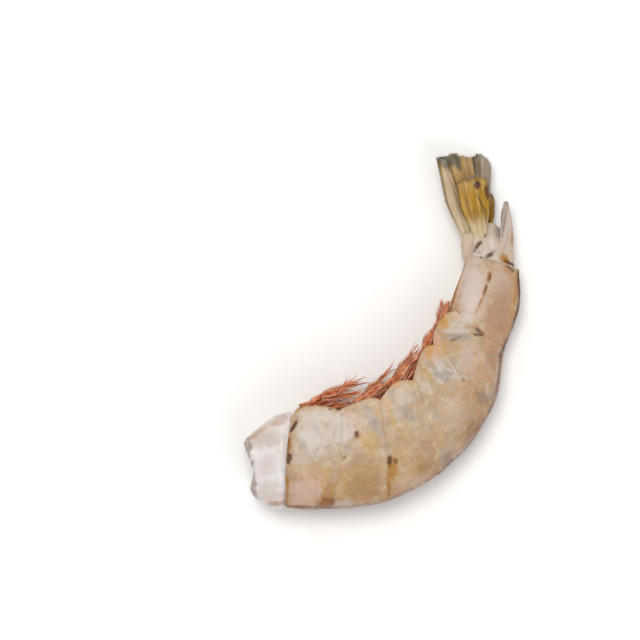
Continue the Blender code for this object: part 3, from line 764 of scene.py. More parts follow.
def meat_rings(s, scale, shift):
    """Rings of the meat: an oval back and a squarer belly with a bar across under each segment."""
    angle = 2 * math.pi * np.arange(MEAT_SIDES) / MEAT_SIDES
    s, scale, shift = s[:, None], scale[:, None], shift[:, None]
    c, d = np.cos(angle)[None], np.sin(angle)[None]
    inset = MEAT_INSET * ease((s - NECK_FULL_TO) / (NECK_LENGTH - NECK_FULL_TO))
    bulge = hump(s - NECK_BULGE_AT, NECK_BULGE_REACH)
    full_back = size(s, BACK) - inset + NECK_BACK_BULGE * bulge
    flank = (size(s, FLANK) - inset) * scale
    square = 2 / BELLY_SQUARENESS
    over = c >= 0
    bar = np.zeros_like(s)
    for joint, length in zip(JOINTS[1:-1], SEGMENT_LENGTHS):
        bar = np.maximum(bar, hump(s - joint - BAR_PLACE * length, BAR_WIDTH))
    hollow = BAR_DEPTH * (1 - bar) * ease((s - NECK_LENGTH) / 3.0)
    belly = (size(s, BELLY) + NECK_BULGE * bulge - hollow) * scale
    back = np.where(over, full_back * scale * c, -belly * np.abs(c) ** square)
    up = np.where(over, flank * d, np.sign(d) * flank * np.abs(d) ** square)
    profile = on_curve(back, [b for b, _ in CUT_PROFILE], [v for _, v in CUT_PROFILE])
    place = s + shift + profile * ease(1 - s / CUT_PROFILE_DEPTH)
    return body_points(place, back, up), place, back, up


def make_meat():
    """The whole meat: the dished cut face, its rounded rim, the body and the end inside the last plate."""
    rim = 1 - CUT_ROUNDING
    round_rim = 1 - CUT_ROUNDING * (1 - np.sin(np.linspace(0.1, 1.5, RIM_RINGS)))
    face = np.concatenate([np.linspace(0.04, rim, FACE_RINGS), round_rim])
    over_edge = np.clip((face - rim) / CUT_ROUNDING, 0, 1)
    lip = CUT_LIP * (1 - np.sqrt(1 - over_edge**2))
    face_shift = np.where(face < rim, CUT_DISH * (1 - (face / rim) ** 2), lip)
    end = TAIL_ROOT - MEAT_END_MARGIN
    along = np.linspace(CUT_LIP, end, BODY_RINGS)
    stub = np.linspace(0.1, 1.0, END_RINGS)
    s = np.concatenate([0 * face, along, end + 0 * stub])
    scale = np.concatenate([face, 1 + 0 * along, np.sqrt(1 - 0.97 * stub**2.2)])
    shift = np.concatenate([face_shift, 0 * along, STUB_LENGTH * stub])
    points, place, back, up = meat_rings(s, scale, shift)
    normals = away_from(faces_out(points, True), points, points.mean(1, keepdims=True))
    bare = 1 - ease((face - CUT_LOOK_TO) / CUT_LOOK_FADE)
    on_cut = np.concatenate([bare, 0 * along, 0 * stub])[:, None]
    points = step(points, (normals, dents(points, *MEAT_DENTS)))
    marks = lay_pigments(MEAT_PATCHES, np.maximum(place, 0), back, points)
    marks["cut"] = np.broadcast_to(on_cut, place.shape)
    from_vein = np.hypot(back - VEIN[0], up - VEIN[1])
    near_cut = BAND_WIDTH + dents(points, BAND_RAGGEDNESS) - place
    marks["band"] = TINT_STRENGTH * ease(near_cut / BAND_FADE) * (1 - on_cut)
    low = ease((-back / size(place, BELLY) - BELLY_TINT_FROM) / BELLY_TINT_FADE)
    marks["belly"] = TINT_STRENGTH * low * ease((place - NECK_LENGTH) / 2.0)
    marks["vein"] = on_cut * ease((VEIN_WIDTH * 1.5 - from_vein) / VEIN_WIDTH)
    marks["fibre"] = np.stack([place / 6.0, back / 0.5, up / 0.5], -1)
    settle(ring_piece("meat_skin", points, marks, MEAT), "flesh", "meat")


# ---------------------------------------------------------------- shell plates

PLATE_ROWS = 84
ARCH_COLUMNS = 110
WALL_COLUMNS = 42
PLATE_DENTS = ((0.18, 7.0, 0.0), (0.07, 2.2, 5.0))
# Along each edge runs a groove, and the edge itself is raised: height, distance from the edge, half width.
HEM_RELIEF = ((-0.03, 1.5, 0.7), (0.02, 0.0, 0.5))
# The distance that is given where no hem is near.
NO_HEM = 99
# The boss of the hinge at mid flank: behind the plate's joint and towards the back.
HINGE = (1.4, 0.6)
HINGE_BOSS = 0.1
HINGE_WIDTH = 1.1
# A plate's skin thins to this share of its thickness at the edges, over this distance.
EDGE_SHARE = 0.35
EDGE_REACH = 0.5
# A rippled ridge along the flank of the last plate: a place on it, its slope, height, half width and run,
# how far its ends fade, and how deep and how close its ripples are.
SCAR_AT = (83.5, -0.75)
SCAR_SLOPE = 0.18
SCAR_RIDGE = 0.14
SCAR_WIDTH = 0.35
SCAR_START, SCAR_END = 74.0, 85.0
SCAR_FADE = 1.5
SCAR_RIPPLE, SCAR_RIPPLE_TURN = 0.5, 1.6


def keel(number, angle):
    return KEELS[number] * hump(np.degrees(angle), KEEL_WIDTH)


def flare(s, number, above):
    """How far a plate stands off: flush at its front, flared before the next one starts."""
    if number == LAST_PLATE:
        return 0.0 * (s + above)
    rise_start = JOINTS[number + 1] + PLATE_TRAIL
    rise_end = JOINTS[number + 2] - PLATE_LEAD
    reach = FLARE_ABOVE + (FLARE_BELOW - FLARE_ABOVE) * ease(-above)
    return reach * ease((s - rise_start) / (rise_end - rise_start))


def plate_grid(number, s, t):
    """Distances towards the back and up over a plate: left wall, arch, right wall."""
    depth, abruptness = FLAP_CORNERS[number]
    corner = depth * np.abs(2 * t - 1) ** abruptness
    steps = (np.arange(WALL_COLUMNS) + 1)[None] / WALL_COLUMNS
    angle = np.linspace(-math.pi / 2, math.pi / 2, ARCH_COLUMNS)[None]
    offset = flare(s, number, np.sin(angle))
    arch_back = (size(s, BACK) + offset + keel(number, angle)) * np.cos(angle)
    arch_up = (size(s, FLANK) + offset) * np.sin(angle)
    full_reach = size(s, FLAPS)
    down = steps * (full_reach - corner)
    lean = 1 - WALL_LEAN * (down / full_reach) ** 2
    walls = [side * (size(s, FLANK) + flare(s, number, side)) * lean for side in (-1, 1)]
    back = np.concatenate([-down[:, ::-1], arch_back, -down], 1)
    up = np.concatenate([walls[0][:, ::-1], arch_up, walls[1]], 1)
    left = full_reach - corner - down
    hem = np.concatenate([left[:, ::-1], NO_HEM + 0 * arch_back, left], 1)
    return back, up, hem


def last_plate_grid(number, s):
    """The last plate wraps round the belly but for a slit."""
    columns = ARCH_COLUMNS + 2 * WALL_COLUMNS
    square = 2 / BELLY_SQUARENESS
    angle = math.radians(LAST_PLATE_WRAP) * np.linspace(-1, 1, columns)[None]
    over = np.abs(angle) <= math.pi / 2
    back = np.where(
        over, (size(s, BACK) + keel(number, angle)) * np.cos(angle),
        -size(s, FLAPS) * np.abs(np.cos(angle)) ** square,
    )
    side = np.abs(np.sin(angle))
    up = size(s, FLANK) * np.sign(angle) * np.where(over, side, side**square)
    hem = size(s, FLANK) * (math.radians(LAST_PLATE_WRAP) - np.abs(angle))
    return back, up, hem


def scar(s, back):
    """The rippled ridge along the flank of the last plate, nearer to the belly at its front."""
    line = hump(back - SCAR_AT[1] + SCAR_SLOPE * (SCAR_AT[0] - s), SCAR_WIDTH)
    line = line * ease((s - SCAR_START) / SCAR_FADE) * ease((SCAR_END - s) / SCAR_FADE)
    return SCAR_RIDGE * line * (1 + SCAR_RIPPLE * np.sin(s * SCAR_RIPPLE_TURN))


def make_plate(number):
    """A thin shell plate with dents, a raised hem with a groove inside it, and its hinge."""
    lead = PLATE_LEAD if number else 0.0
    last = number == LAST_PLATE
    start = JOINTS[number + 1] - lead
    end = JOINTS[number + 2] + (0.0 if last else PLATE_TRAIL)
    t = np.linspace(0, 1, PLATE_ROWS)[:, None]
    s = start + (end - start) * t
    back, up, hem = last_plate_grid(number, s) if last else plate_grid(number, s, t)
    s = np.broadcast_to(s, back.shape)
    from_rear = end - s
    points = body_points(s, back, up)
    centres = spine_at(s)[0]
    normals = away_from(faces_out(points, False), points, centres)
    near_edge = np.minimum(from_rear, hem)
    relief = dents(points, *PLATE_DENTS)
    relief += sum(height * hump(near_edge - at, width) for height, at, width in HEM_RELIEF)
    if number:
        from_hinge = np.hypot(s - (start + lead + HINGE[0]), back - HINGE[1])
        relief += HINGE_BOSS * hump(from_hinge, HINGE_WIDTH)
    if last:
        relief += scar(s, back)
    outer = step(points, (normals, relief))
    outer[..., 2] = np.maximum(outer[..., 2], 0.0)
    rounding = EDGE_SHARE + (1 - EDGE_SHARE) * ease(np.minimum(near_edge, s - start) / EDGE_REACH)
    inner = step(outer, (normals, -PLATE_SKIN * rounding))
    marks = lay_pigments(SHELL_PATCHES, s, back, points)
    marks["towards_back"] = np.where(back > 0, back / size(s, BACK), back / size(s, FLAPS))
    marks["hem"] = near_edge
    marks["skin"] = np.stack([s / 3.0, back / 13.0, up / 13.0], -1)
    piece = sheet_piece(f"plate_{number + 1}", outer, inner, marks, SHELL)
    settle(piece, "shell", f"shell_{number + 1}")


# ---------------------------------------------------------------- tail fan

# Points along and across each kind of piece.
TELSON_GRID = (70, 72)
UROPOD_GRID = (110, 61)
PROTOPOD_GRID = (34, 72)
ROOT_GRID = (60, 96)
TELSON = {"base": (-1.6, 3.4, 0.5), "turn": 6.6, "climb": 0.0, "roll": 55.0}
TELSON_LENGTH = 16.6
TELSON_WIDTH = 6.0
TELSON_HEIGHT = 1.4
TELSON_GROOVE = 0.45
TELSON_GROOVE_WIDTH = 0.22
TELSON_DENTS = (0.06, 2.0, 0.0)
UROPODS = {
    "uropod_exopod_right": {
        "outer": True, "left": False, "base": (4.8, -6.0, 1.4), "turn": 17.5, "climb": 2.0, "roll": 14.0,
        "length": 20.7, "width": 8.6, "slant": -0.2, "blunt": 0.95, "full_at": 0.5,
    },
    "uropod_endopod_right": {
        "outer": False, "left": False, "base": (5.6, -3.8, 3.1), "turn": 15.5, "climb": 2.0, "roll": 14.0,
        "length": 14.4, "width": 7.6, "slant": 0.04, "blunt": 0.93, "full_at": 0.6,
    },
    "uropod_exopod_left": {
        "outer": True, "left": True, "base": (4.6, -3.3, -1.2), "turn": 7.4, "climb": -1.0, "roll": -4.0,
        "length": 21.0, "width": 5.6, "slant": -0.1, "blunt": 0.85, "full_at": 0.95,
    },
    "uropod_endopod_left": {
        "outer": False, "left": True, "base": (5.0, -3.0, -2.8), "turn": 3.0, "climb": 0.0, "roll": -4.0,
        "length": 11.8, "width": 5.0, "slant": 0.3, "blunt": 0.65, "full_at": 0.45,
    },
}
# Dark spots on the inner blades: from base to tip, across, and their half sizes.
ENDOPOD_SPOTS = ((0.86, 0.3, 0.07, 0.24), (0.71, 0.88, 0.11, 0.16))
UROPOD_STALK = 0.5
UROPOD_TIP = 0.24
UROPOD_CAMBER = 0.5
UROPOD_BODY = 0.28
UROPOD_EDGE = 0.04
UROPOD_WAVE = (0.18, 5.0, 2.0)
NICK_DEPTH = 0.16
NICK_GRAIN = 0.9
NICK_SET_BACK = 0.1
FRINGE_FROM = 0.3
FRINGE_LENGTH = 0.55
FRINGE_HAIRS = 260
# How thick any fringe's bristles are, and how deep they root.
FRINGE_WIDTH = 0.05
FRINGE_DEPTH = 0.15
PROTOPODS = {
    "uropod_base_right": {"start": (-1.6, -3.2, 1.5), "end": (7.0, -5.4, 2.3)},
    "uropod_base_left": {"start": (-1.6, -2.2, -1.7), "end": (6.2, -3.0, -2.0)},
}
PROTOPOD_WIDTH = 7.6
PROTOPOD_THICKNESS = 3.0
PROTOPOD_SCALES = ((0, 0.6), (0.08, 0.8), (0.25, 0.95), (0.5, 1.0), (0.8, 0.92), (0.93, 0.75), (1.0, 0.4))
# Grooves along its top: where they lie round it, their depth and half width.
PROTOPOD_GROOVES = ((1.9, 0.22, 0.16), (1.1, 0.18, 0.14))
PROTOPOD_DENTS = (0.16, 2.2, 0.0)
# Sections of the soft skin that joins the last plate to the fan: along, belly side, back side, half height.
ROOT_SECTIONS = (
    (-3.0, -6.4, 5.3, 3.2), (0.2, -6.4, 5.1, 3.2), (2.5, -7.0, 4.7, 2.8),
    (5.0, -7.0, 3.7, 2.1), (7.5, -6.0, 1.8, 1.4), (9.3, -4.4, -0.6, 0.4),
)
ROOT_HEIGHT = 0.6
ROOT_DENTS = (0.22, 2.4, 0.0)
# Patches there, placed along and towards the back from the end of the spine.
ROOT_PATCHES = {
    "pale": ((2.0, -1.0, 12.0, 12.0, 0, 0.8), (4.6, -4.0, 2.6, 2.0, 0, 0.5)),
    "blush": ((2.6, -0.4, 3.2, 2.6, 0, 0.3),),
    "grey": (
        (2.6, -5.4, 1.6, 0.7, 0, 0.5), (2.6, 1.2, 1.6, 1.4, 0, 0.35), (5.3, 0.6, 1.4, 1.0, 0, 0.4),
        (7.4, 0.5, 2.0, 1.1, 0, 0.9),
    ),
    "gold": (
        (1.4, -2.4, 1.2, 2.4, 40, 0.8), (2.0, -2.0, 12.0, 12.0, 0, 0.75), (3.2, -4.6, 1.6, 2.4, 60, 1.0),
        (5.6, -3.6, 1.8, 0.8, 0, 0.8), (5.8, -5.4, 2.6, 1.4, 0, 1.0), (7.0, 0.7, 1.6, 0.9, 0, 0.9),
    ),
    "pink": ((2.0, -6.4, 2.6, 0.8, 0, 0.6), (2.2, 3.6, 1.2, 1.2, 0, 0.8), (3.7, -1.7, 1.8, 0.9, 0, 0.5)),
    "amber": (
        (1.4, -7.1, 3.4, 0.4, 0, 0.4), (4.4, -5.6, 2.2, 1.0, 0, 0.35), (6.0, -2.8, 1.6, 0.6, -8, 0.7),
    ),
    "dusk": (
        (0.1, -1.0, 0.3, 5.0, -3, 0.35), (0.6, 2.9, 0.4, 1.0, -40, 0.6), (1.9, -3.7, 0.4, 0.6, 0, 0.4),
    ),
    "rust": ((1.2, 2.3, 1.0, 1.4, -30, 1.0), (2.2, -6.0, 2.6, 0.7, 0, 0.3)),
    "ink": (
        (-0.2, 4.5, 0.4, 1.8, -20, 0.9), (0.4, -2.5, 0.25, 1.0, 0, 0.6), (0.5, -3.0, 0.36, 0.5, -29, 0.95),
        (1.5, -1.2, 0.5, 1.5, 45, 1.0), (3.3, -4.33, 0.5, 1.5, 62, 1.0), (6.9, -2.6, 1.5, 0.35, -8, 0.8),
    ),
}
TELSON_PATCHES = {
    # (8.6, 2.4) is a thin pale line down the middle of the blade: painted highlight.
    "pale": ((8.4, 2.8, 7.0, 2.6, 0, 0.4), (8.6, 2.4, 5.6, 0.8, -6, 0.9)),
    "blush": ((7.0, 3.0, 12.0, 6.0, 0, 0.7),),
    "grey": ((10.6, 1.0, 5.2, 0.8, 0, 0.9), (14.6, 1.4, 0.9, 1.4, 0, 0.9)),
    "pink": ((4.0, 3.4, 3.0, 0.8, 0, 0.7), (11.0, 3.2, 3.4, 0.4, 0, 0.5)),
    "dusk": ((9.6, 1.7, 5.0, 0.25, -4, 0.4),),
    "rust": ((1.2, 2.3, 1.0, 1.4, -30, 1.0), (6.0, 4.1, 5.6, 0.4, -4, 0.75)),
    "ink": ((12.4, 0.65, 2.4, 0.28, 4, 0.75),),
}
# Ridges along a blade: how far across, height in millimetres, and half breadth. How far across and the
# breadths, here and below, are shares of the blade's own half width.
EXOPOD_RIDGES = ((-0.95, 0.4, 0.05), (-0.55, 0.35, 0.16), (0.0, 0.14, 0.06), (0.45, 0.12, 0.1))
ENDOPOD_RIDGES = ((-0.88, 0.2, 0.07), (-0.3, 0.18, 0.08), (0.22, 0.34, 0.07), (0.6, 0.16, 0.07))
# Dark lines along a blade: how far across at its base and at its tip, half breadth, where it runs from
# and to as shares of the blade's length (past 1 where it runs out over the tip), and its strength.
LINE_FADE = 0.1
EXOPOD_LINES = (
    (-0.97, -0.97, 0.03, 0.0, 1.1, 0.7), (0.0, -0.8, 0.025, 0.2, 0.95, 0.55),
    (0.14, -0.48, 0.04, 0.1, 0.95, 0.9), (0.5, 0.35, 0.03, 0.2, 0.9, 0.3),
)
ENDOPOD_LINES = (
    (-0.98, -0.98, 0.04, 0.0, 1.1, 0.8), (-0.5, -0.6, 0.04, 0.4, 1.1, 0.4),
    (1.2, -0.3, 0.05, 0.12, 0.76, 0.9), (0.5, 0.5, 0.03, 0.6, 0.85, 0.4), (0.97, 0.97, 0.04, 0.0, 1.1, 0.5),
)


def tail_point(base):
    """A place at the tail, from the end of the spine: along, towards the back, and up."""
    root, along, back = spine_at(TAIL_ROOT)
    return root + along * base[0] + back * base[1] + UP * base[2]


def blade_frame(base, turn, climb, roll):
    """Origin, forward, across (towards the back) and face directions of a tail blade."""
    _, along, back = spine_at(TAIL_ROOT)
    turn, climb, roll = (math.radians(v) for v in (turn, climb, roll))
    level = along * math.cos(turn) - back * math.sin(turn)
    forward = level * math.cos(climb) + UP * math.sin(climb)
    sideways = along * math.sin(turn) + back * math.cos(turn)
    face = np.cross(sideways, forward)
    turned_face = face * math.cos(roll) + sideways * math.sin(roll)
    turned_side = sideways * math.cos(roll) - face * math.sin(roll)
    return tail_point(base), forward, turned_side, turned_face


def fringe(name, edge, outward, forward, face, length, count, material, seed):
    """Bristles along an edge, laid back towards the tip."""
    draw = np.random.default_rng(seed)
    known = np.arange(len(edge))
    place = np.linspace(0, len(known) - 1, count)
    roots, out = (
        np.stack([np.interp(place, known, values[:, k]) for k in range(3)], -1) for values in (edge, outward)
    )
    lie = forward[None] * (0.9 + 0.2 * draw.random((count, 1)))
    ways = unit(out * 0.7 + lie + face[None] * draw.normal(0, 0.08, (count, 1)))
    lengths = length * (0.7 + 0.5 * draw.random(count))
    droop = forward[None] * 0.25 + face[None] * draw.normal(0, 0.1, (count, 1))
    return bristles(name, roots - ways * FRINGE_DEPTH, ways, lengths, droop, FRINGE_WIDTH, material)


def blade_marks(t, a, outer, left):
    """Where the pigments lie on a blade, from its base to its tip and across it."""
    reach, side = t + 0 * a, a + 0 * t
    marks = {pigment: np.zeros(reach.shape) for pigment, *_ in HORN_PIGMENTS}
    for base, tip, breadth, first, last, strength in EXOPOD_LINES if outer else ENDOPOD_LINES:
        line = ease((breadth * 2 - np.abs(side - base - (tip - base) * reach)) / breadth)
        line = line * ease((reach - first) / LINE_FADE) * ease((last - reach) / LINE_FADE)
        marks["dusk"] = np.maximum(marks["dusk"], strength * line)
    if outer:
        # A pale rib along the side towards the belly, and a slate tip with a wavy border.
        dark_side = 1.0 if left else ease((0.45 - side) / 0.3)
        marks["rib"] = 0.85 * ease((0.1 - 0.58 * reach - side) / 0.06) * ease((0.93 - reach) / 0.2)
        marks["slate"] = ease((reach - 0.79 + 0.03 * np.sin(9 * side)) / 0.1) * dark_side
    else:
        # Dark spots, an olive patch in the inner half and a darker tip.
        for at_t, at_a, half_t, half_a in ENDOPOD_SPOTS:
            spot = np.hypot((reach - at_t) / half_t, (side - at_a) / half_a)
            marks["ink"] = np.maximum(marks["ink"], 0.95 * ease((1.3 - spot) / 0.5))
        olive = np.hypot((reach - 0.36) / 0.15, (side + 0.3) / 0.4)
        for dark in (0.35 * ease((reach - 0.92) / 0.06), 0.5 * ease((1.3 - olive) / 0.8)):
            marks["dusk"] = np.maximum(marks["dusk"], dark)
    if left:
        # On this side the outer blade is misty towards the back, slate towards the belly and dark near its
        # tip, and its rib is faint.
        from_stalk = ease((reach - 0.3) / 0.3) * outer
        marks["rib"] = 0 * reach
        marks["mist"] = 0.8 * ease((side - 0.05) / 0.2) * from_stalk
        marks["slate"] = 0.75 * from_stalk * ease((0.3 - side) / 0.25)
        marks["ink"] = 0.6 * ease((0.1 - side) / 0.3) * ease((reach - 0.75) / 0.15) * outer
    marks["rib"] = np.maximum(marks["rib"], 0.25 * outer)
    # Every blade is pink at its base.
    fading = 0.8 if outer else 0.55
    marks["pink"] = fading * ease((0.42 - reach - 0.05 * np.sin(11 * side)) / 0.34)
    marks["out"] = reach
    return marks


def blade_fringe(name, middle, forward, across, face, seed):
    """Bristles down both edges of a blade and over its tip."""
    first = int(FRINGE_FROM * len(middle))
    along_edge, over_tip = len(middle) - first, middle.shape[1] - 2
    edge = np.concatenate([middle[first:, 0], middle[-1, 1:-1], middle[first:, -1][::-1]])
    out = np.repeat(np.stack([-across, forward, across]), (along_edge, over_tip, along_edge), 0)
    return fringe(name + "_fringe", edge, out, forward, face, FRINGE_LENGTH, FRINGE_HAIRS, TAIL_BRISTLE, seed)


def make_uropod(name, outer, left, base, turn, climb, roll, length, width, slant, blunt, full_at):
    """A blade of the fan: thin, ribbed, slightly domed, with a nicked tip and a fringe."""
    origin, forward, across, face = blade_frame(base, turn, climb, roll)
    t = 1 - (1 - np.linspace(0, 1, UROPOD_GRID[0])[:, None]) ** 1.6
    a = np.sin(np.linspace(-math.pi / 2, math.pi / 2, UROPOD_GRID[1]))[None]
    grown = UROPOD_STALK + (1 - UROPOD_STALK) * ease(t / full_at)
    past = np.clip((t - blunt) / (1 - blunt), 0, 1)
    tip = np.where(t > blunt, np.maximum(np.sqrt(1 - past**2), UROPOD_TIP), 1.0)
    half = width / 2 * grown * tip
    distance = length * t + slant * half * a * ease(t)
    # The tip's edge is nicked and worn.
    nicks = swell(np.stack([a * half, 0 * a * half, 0 * a * half + 9.1 * length], -1), NICK_GRAIN)
    distance = distance + (NICK_DEPTH * nicks - NICK_SET_BACK) * ease((t - 0.85) / 0.15)
    ridges = EXOPOD_RIDGES if outer else ENDOPOD_RIDGES
    rise = sum(height * hump(a - at, half_width) for at, height, half_width in ridges)
    rise = rise * ease((1 - t) / 0.12) * ease((t + 0.1) / 0.25)
    camber = UROPOD_CAMBER * ease(t / full_at) * (1 - a * a)
    spine = step(origin, (forward, distance), (across, half * a))
    wave = dents(spine, UROPOD_WAVE) * ease(t / 0.3)
    body = UROPOD_BODY * np.sqrt(np.maximum(1 - a * a, 0.0)) + UROPOD_EDGE
    top = step(spine, (face, camber + rise * 0.8 + body * 0.5 + wave))
    bottom = step(spine, (face, camber - body + wave - 0.3 * rise))
    marks = blade_marks(t, a, outer, left)
    marks["grain"] = np.stack([distance / 7.0, half * a / 0.7, 0 * distance + turn], -1)
    settle(sheet_piece(name + "_blade", top, bottom, marks, TAIL), "tail", name)
    hairs = blade_fringe(name, (top + bottom) / 2, forward, across, face, int(length * 10))
    settle(hairs, "tail")


def make_telson():
    """The pointed middle piece of the tail, with a groove along its top."""
    origin, forward, across, face = blade_frame(**TELSON)
    t = 1 - (1 - np.linspace(0, 1, TELSON_GRID[0])[:, None]) ** 1.8
    angle = round_ring(TELSON_GRID[1])
    half = TELSON_WIDTH / 2 * (0.08 + 0.92 * (1 - t**3.4) ** 0.6)
    height = TELSON_HEIGHT * (0.35 + 0.65 * (1 - t))
    a, over = np.cos(angle), np.sin(angle)
    groove = TELSON_GROOVE * hump(a, TELSON_GROOVE_WIDTH) * ease((1 - t) / 0.2)
    rise = np.where(over > 0, height * np.abs(over) ** 0.8 * (1 - groove), -0.4 * height * np.abs(over))
    points = step(origin, (forward, TELSON_LENGTH * t), (across, half * a), (face, rise))
    points = step(points, (face, dents(points, TELSON_DENTS)))
    settle(ring_piece("telson_blade", points, root_marks(TELSON_PATCHES, points), SHELL), "tail", "telson")


def root_marks(patches, points):
    """Pigments at the tail's root, placed from the end of the spine."""
    root, along, back = spine_at(TAIL_ROOT)
    on, across = (points - root) @ along, (points - root) @ back
    marks = lay_pigments(patches, on, across, points)
    marks["towards_back"] = across / 12.0
    marks["hem"] = NO_HEM + 0 * on
    marks["skin"] = np.stack([on / 2.0, across / 3.0, points[..., 2] / 3.0], -1)
    return marks


def make_root_skin():
    """Soft skin under the joints of the fan, from inside the last plate to the notch beside the telson."""
    root, along, back = spine_at(TAIL_ROOT)
    stations, lows, highs, heights = zip(*ROOT_SECTIONS)
    on = np.linspace(stations[0], stations[-1], ROOT_GRID[0])[:, None]
    low, high, tall = (on_curve(on, stations, values) for values in (lows, highs, heights))
    angle = round_ring(ROOT_GRID[1])
    across = (low + high) / 2 + (high - low) / 2 * np.cos(angle)
    up = ROOT_HEIGHT + tall * np.sign(np.sin(angle)) * np.abs(np.sin(angle)) ** 0.8
    points = step(root, (along, on), (back, across), (UP, up))
    points = step(points, (UP, dents(points, ROOT_DENTS)))
    settle(ring_piece("root_skin", points, root_marks(ROOT_PATCHES, points), SHELL), "tail")


def make_protopod(name, start, end):
    """The short joint that carries two blades: a rounded block with grooves along its top."""
    first, last = tail_point(start), tail_point(end)
    across = unit(np.cross(unit(last - first), UP))
    t = np.linspace(0, 1, PROTOPOD_GRID[0])[:, None]
    scale = np.interp(t, *zip(*PROTOPOD_SCALES))
    angle = round_ring(PROTOPOD_GRID[1])
    groove = sum(depth * hump(angle - at, half_width) for at, depth, half_width in PROTOPOD_GROOVES)
    high = PROTOPOD_THICKNESS / 2 * scale * (np.sin(angle) - groove * ease(t / 0.3))
    wide = PROTOPOD_WIDTH / 2 * scale * np.cos(angle)
    points = step(first, (last - first, t), (across, wide), (UP, high))
    points = step(points, (UP, dents(points, PROTOPOD_DENTS)))
    settle(ring_piece(name + "_joint", points, root_marks(ROOT_PATCHES, points), SHELL), "tail", name)


# ---------------------------------------------------------------- swimmerets

# For each pair: its length, how far it leans off the belly at the tip, and at the root.
SWIMMERETS = ((11.0, 9.0, 62.0), (10.6, 18.0, 62.0), (10.0, 7.0, 58.0), (9.0, 2.0, 44.0), (6.8, 1.0, 26.0))
# Points along a leg, round its stalk and across its blades.
LEG_STEPS, STALK_SIDES, LEG_COLUMNS = 40, 28, 15
SWIMMERET_ROOT = 0.3
SWIMMERET_BENT_AT = 0.4
SWIMMERET_CLEARANCE = 0.5
SWIMMERET_SPREAD = 0.42
STALK_SHARE = 0.4
STALK_WIDTH = 3.0
STALK_THICKNESS = 1.5
STALK_SCALES = ((0, 0.6), (0.15, 0.85), (0.5, 0.9), (0.85, 0.85), (1, 0.5))
STALK_DENTS = (0.08, 1.5, 0.0)
# The two blades of a leg: how far each swings off the stalk, its twist, half width and rise.
LEG_BLADES = ((12.0, 44.0, 1.1, 0.8), (-5.0, 62.0, 0.95, -0.6))
LEG_BLADE_BODY = 0.16
LEG_BLADE_EDGE = 0.03
LEG_BLADE_CUP = 0.25
LEG_WAVE = (0.45, 3.0)
LEG_UNEVENNESS = 7.0
LEFT_LEG_SWAY = 10.0
LEG_FRINGE_LENGTH = 1.1
LEG_FRINGE_HAIRS = 56
# Loose strands along a blade: how many, how long, how thick, and how far they stray and droop.
STRANDS = 11
STRAND_LENGTHS = (5.8, 5.4, 4.8, 3.2, 1.4)
STRAND_WIDTH = 0.26
STRAND_STRAY = 0.1
STRAND_DROOP = 0.11
# Strands that lie along the belly from a leg's root: how many, how long and how thick.
BELLY_STRANDS = 20
BELLY_STRAND_LENGTHS = (7.0, 7.0, 7.0, 5.6, 2.6)
BELLY_STRAND_WIDTH = 0.4


def leg_root(number):
    return JOINTS[number + 1] + SWIMMERET_ROOT * SEGMENT_LENGTHS[number]


def leg_path(number, side, sway):
    """Points, forward and face directions along a swimmeret."""
    length, angle, root_angle = SWIMMERETS[number]
    s = leg_root(number)
    _, along, back = spine_at(s)
    start = body_points(s, -size(s, BELLY) - SWIMMERET_CLEARANCE, side * SWIMMERET_SPREAD * size(s, FLANK))
    t = np.linspace(0, 1, LEG_STEPS)
    lean = np.radians(root_angle + (angle + sway * t - root_angle) * ease(t / SWIMMERET_BENT_AT))
    forward = along * np.cos(lean)[:, None] - back * np.sin(lean)[:, None]
    face = along * np.sin(lean)[:, None] + back * np.cos(lean)[:, None]
    moves = forward[:-1] * (length / (LEG_STEPS - 1))
    points = start + np.concatenate([np.zeros((1, 3)), np.cumsum(moves, 0)])
    return t, points, forward, face


def belly_strands(label, number, side):
    """Soft strands that fill the corner between a leg and the belly."""
    draw = np.random.default_rng(900 + 10 * number + side)
    s = leg_root(number) + draw.uniform(-2.4, 5.5, BELLY_STRANDS)
    out = draw.uniform(-0.4, 1.6 - 0.3 * number, BELLY_STRANDS)
    up = side * draw.uniform(0.1, 0.6, BELLY_STRANDS) * size(s, FLANK)
    roots = body_points(s, -size(s, BELLY) - out, up)
    _, along, back = spine_at(s)
    lean = np.radians(draw.uniform(-4, 24, BELLY_STRANDS))[:, None]
    ways = unit(along * np.cos(lean) - back * np.sin(lean) + UP * draw.normal(0, 0.12, (BELLY_STRANDS, 1)))
    lengths = BELLY_STRAND_LENGTHS[number] * draw.uniform(0.5, 1.1, BELLY_STRANDS)
    droop = draw.normal(0, 0.1, (BELLY_STRANDS, 3))
    shades = 0.8 * draw.random(BELLY_STRANDS)
    name = label + "_belly_strands"
    return bristles(name, roots, ways, lengths, droop, BELLY_STRAND_WIDTH, LEG_STRAND, shades)


def leg_stalk(label, number, side):
    """The short thick stalk that the two blades of a leg grow from."""
    t, points, _, face = leg_path(number, side, 0.0)
    stalk = t <= STALK_SHARE
    angle = round_ring(STALK_SIDES)
    scale = np.interp(t[stalk] / STALK_SHARE, *zip(*STALK_SCALES))[:, None]
    face = face[stalk][:, None]
    wide, thick = STALK_WIDTH / 2 * scale * np.cos(angle), STALK_THICKNESS / 2 * scale * np.sin(angle)
    rings = step(points[stalk][:, None], (UP, wide), (face, thick))
    rings = step(rings, (face, dents(rings, STALK_DENTS)))
    darker = ease(1 - t[stalk][:, None] / 0.3)
    marks = {"root": 0.6 * darker + 0 * angle, "rim": 0 * darker + 0 * angle}
    return ring_piece(label + "_stalk", rings, marks, SWIMMERET)


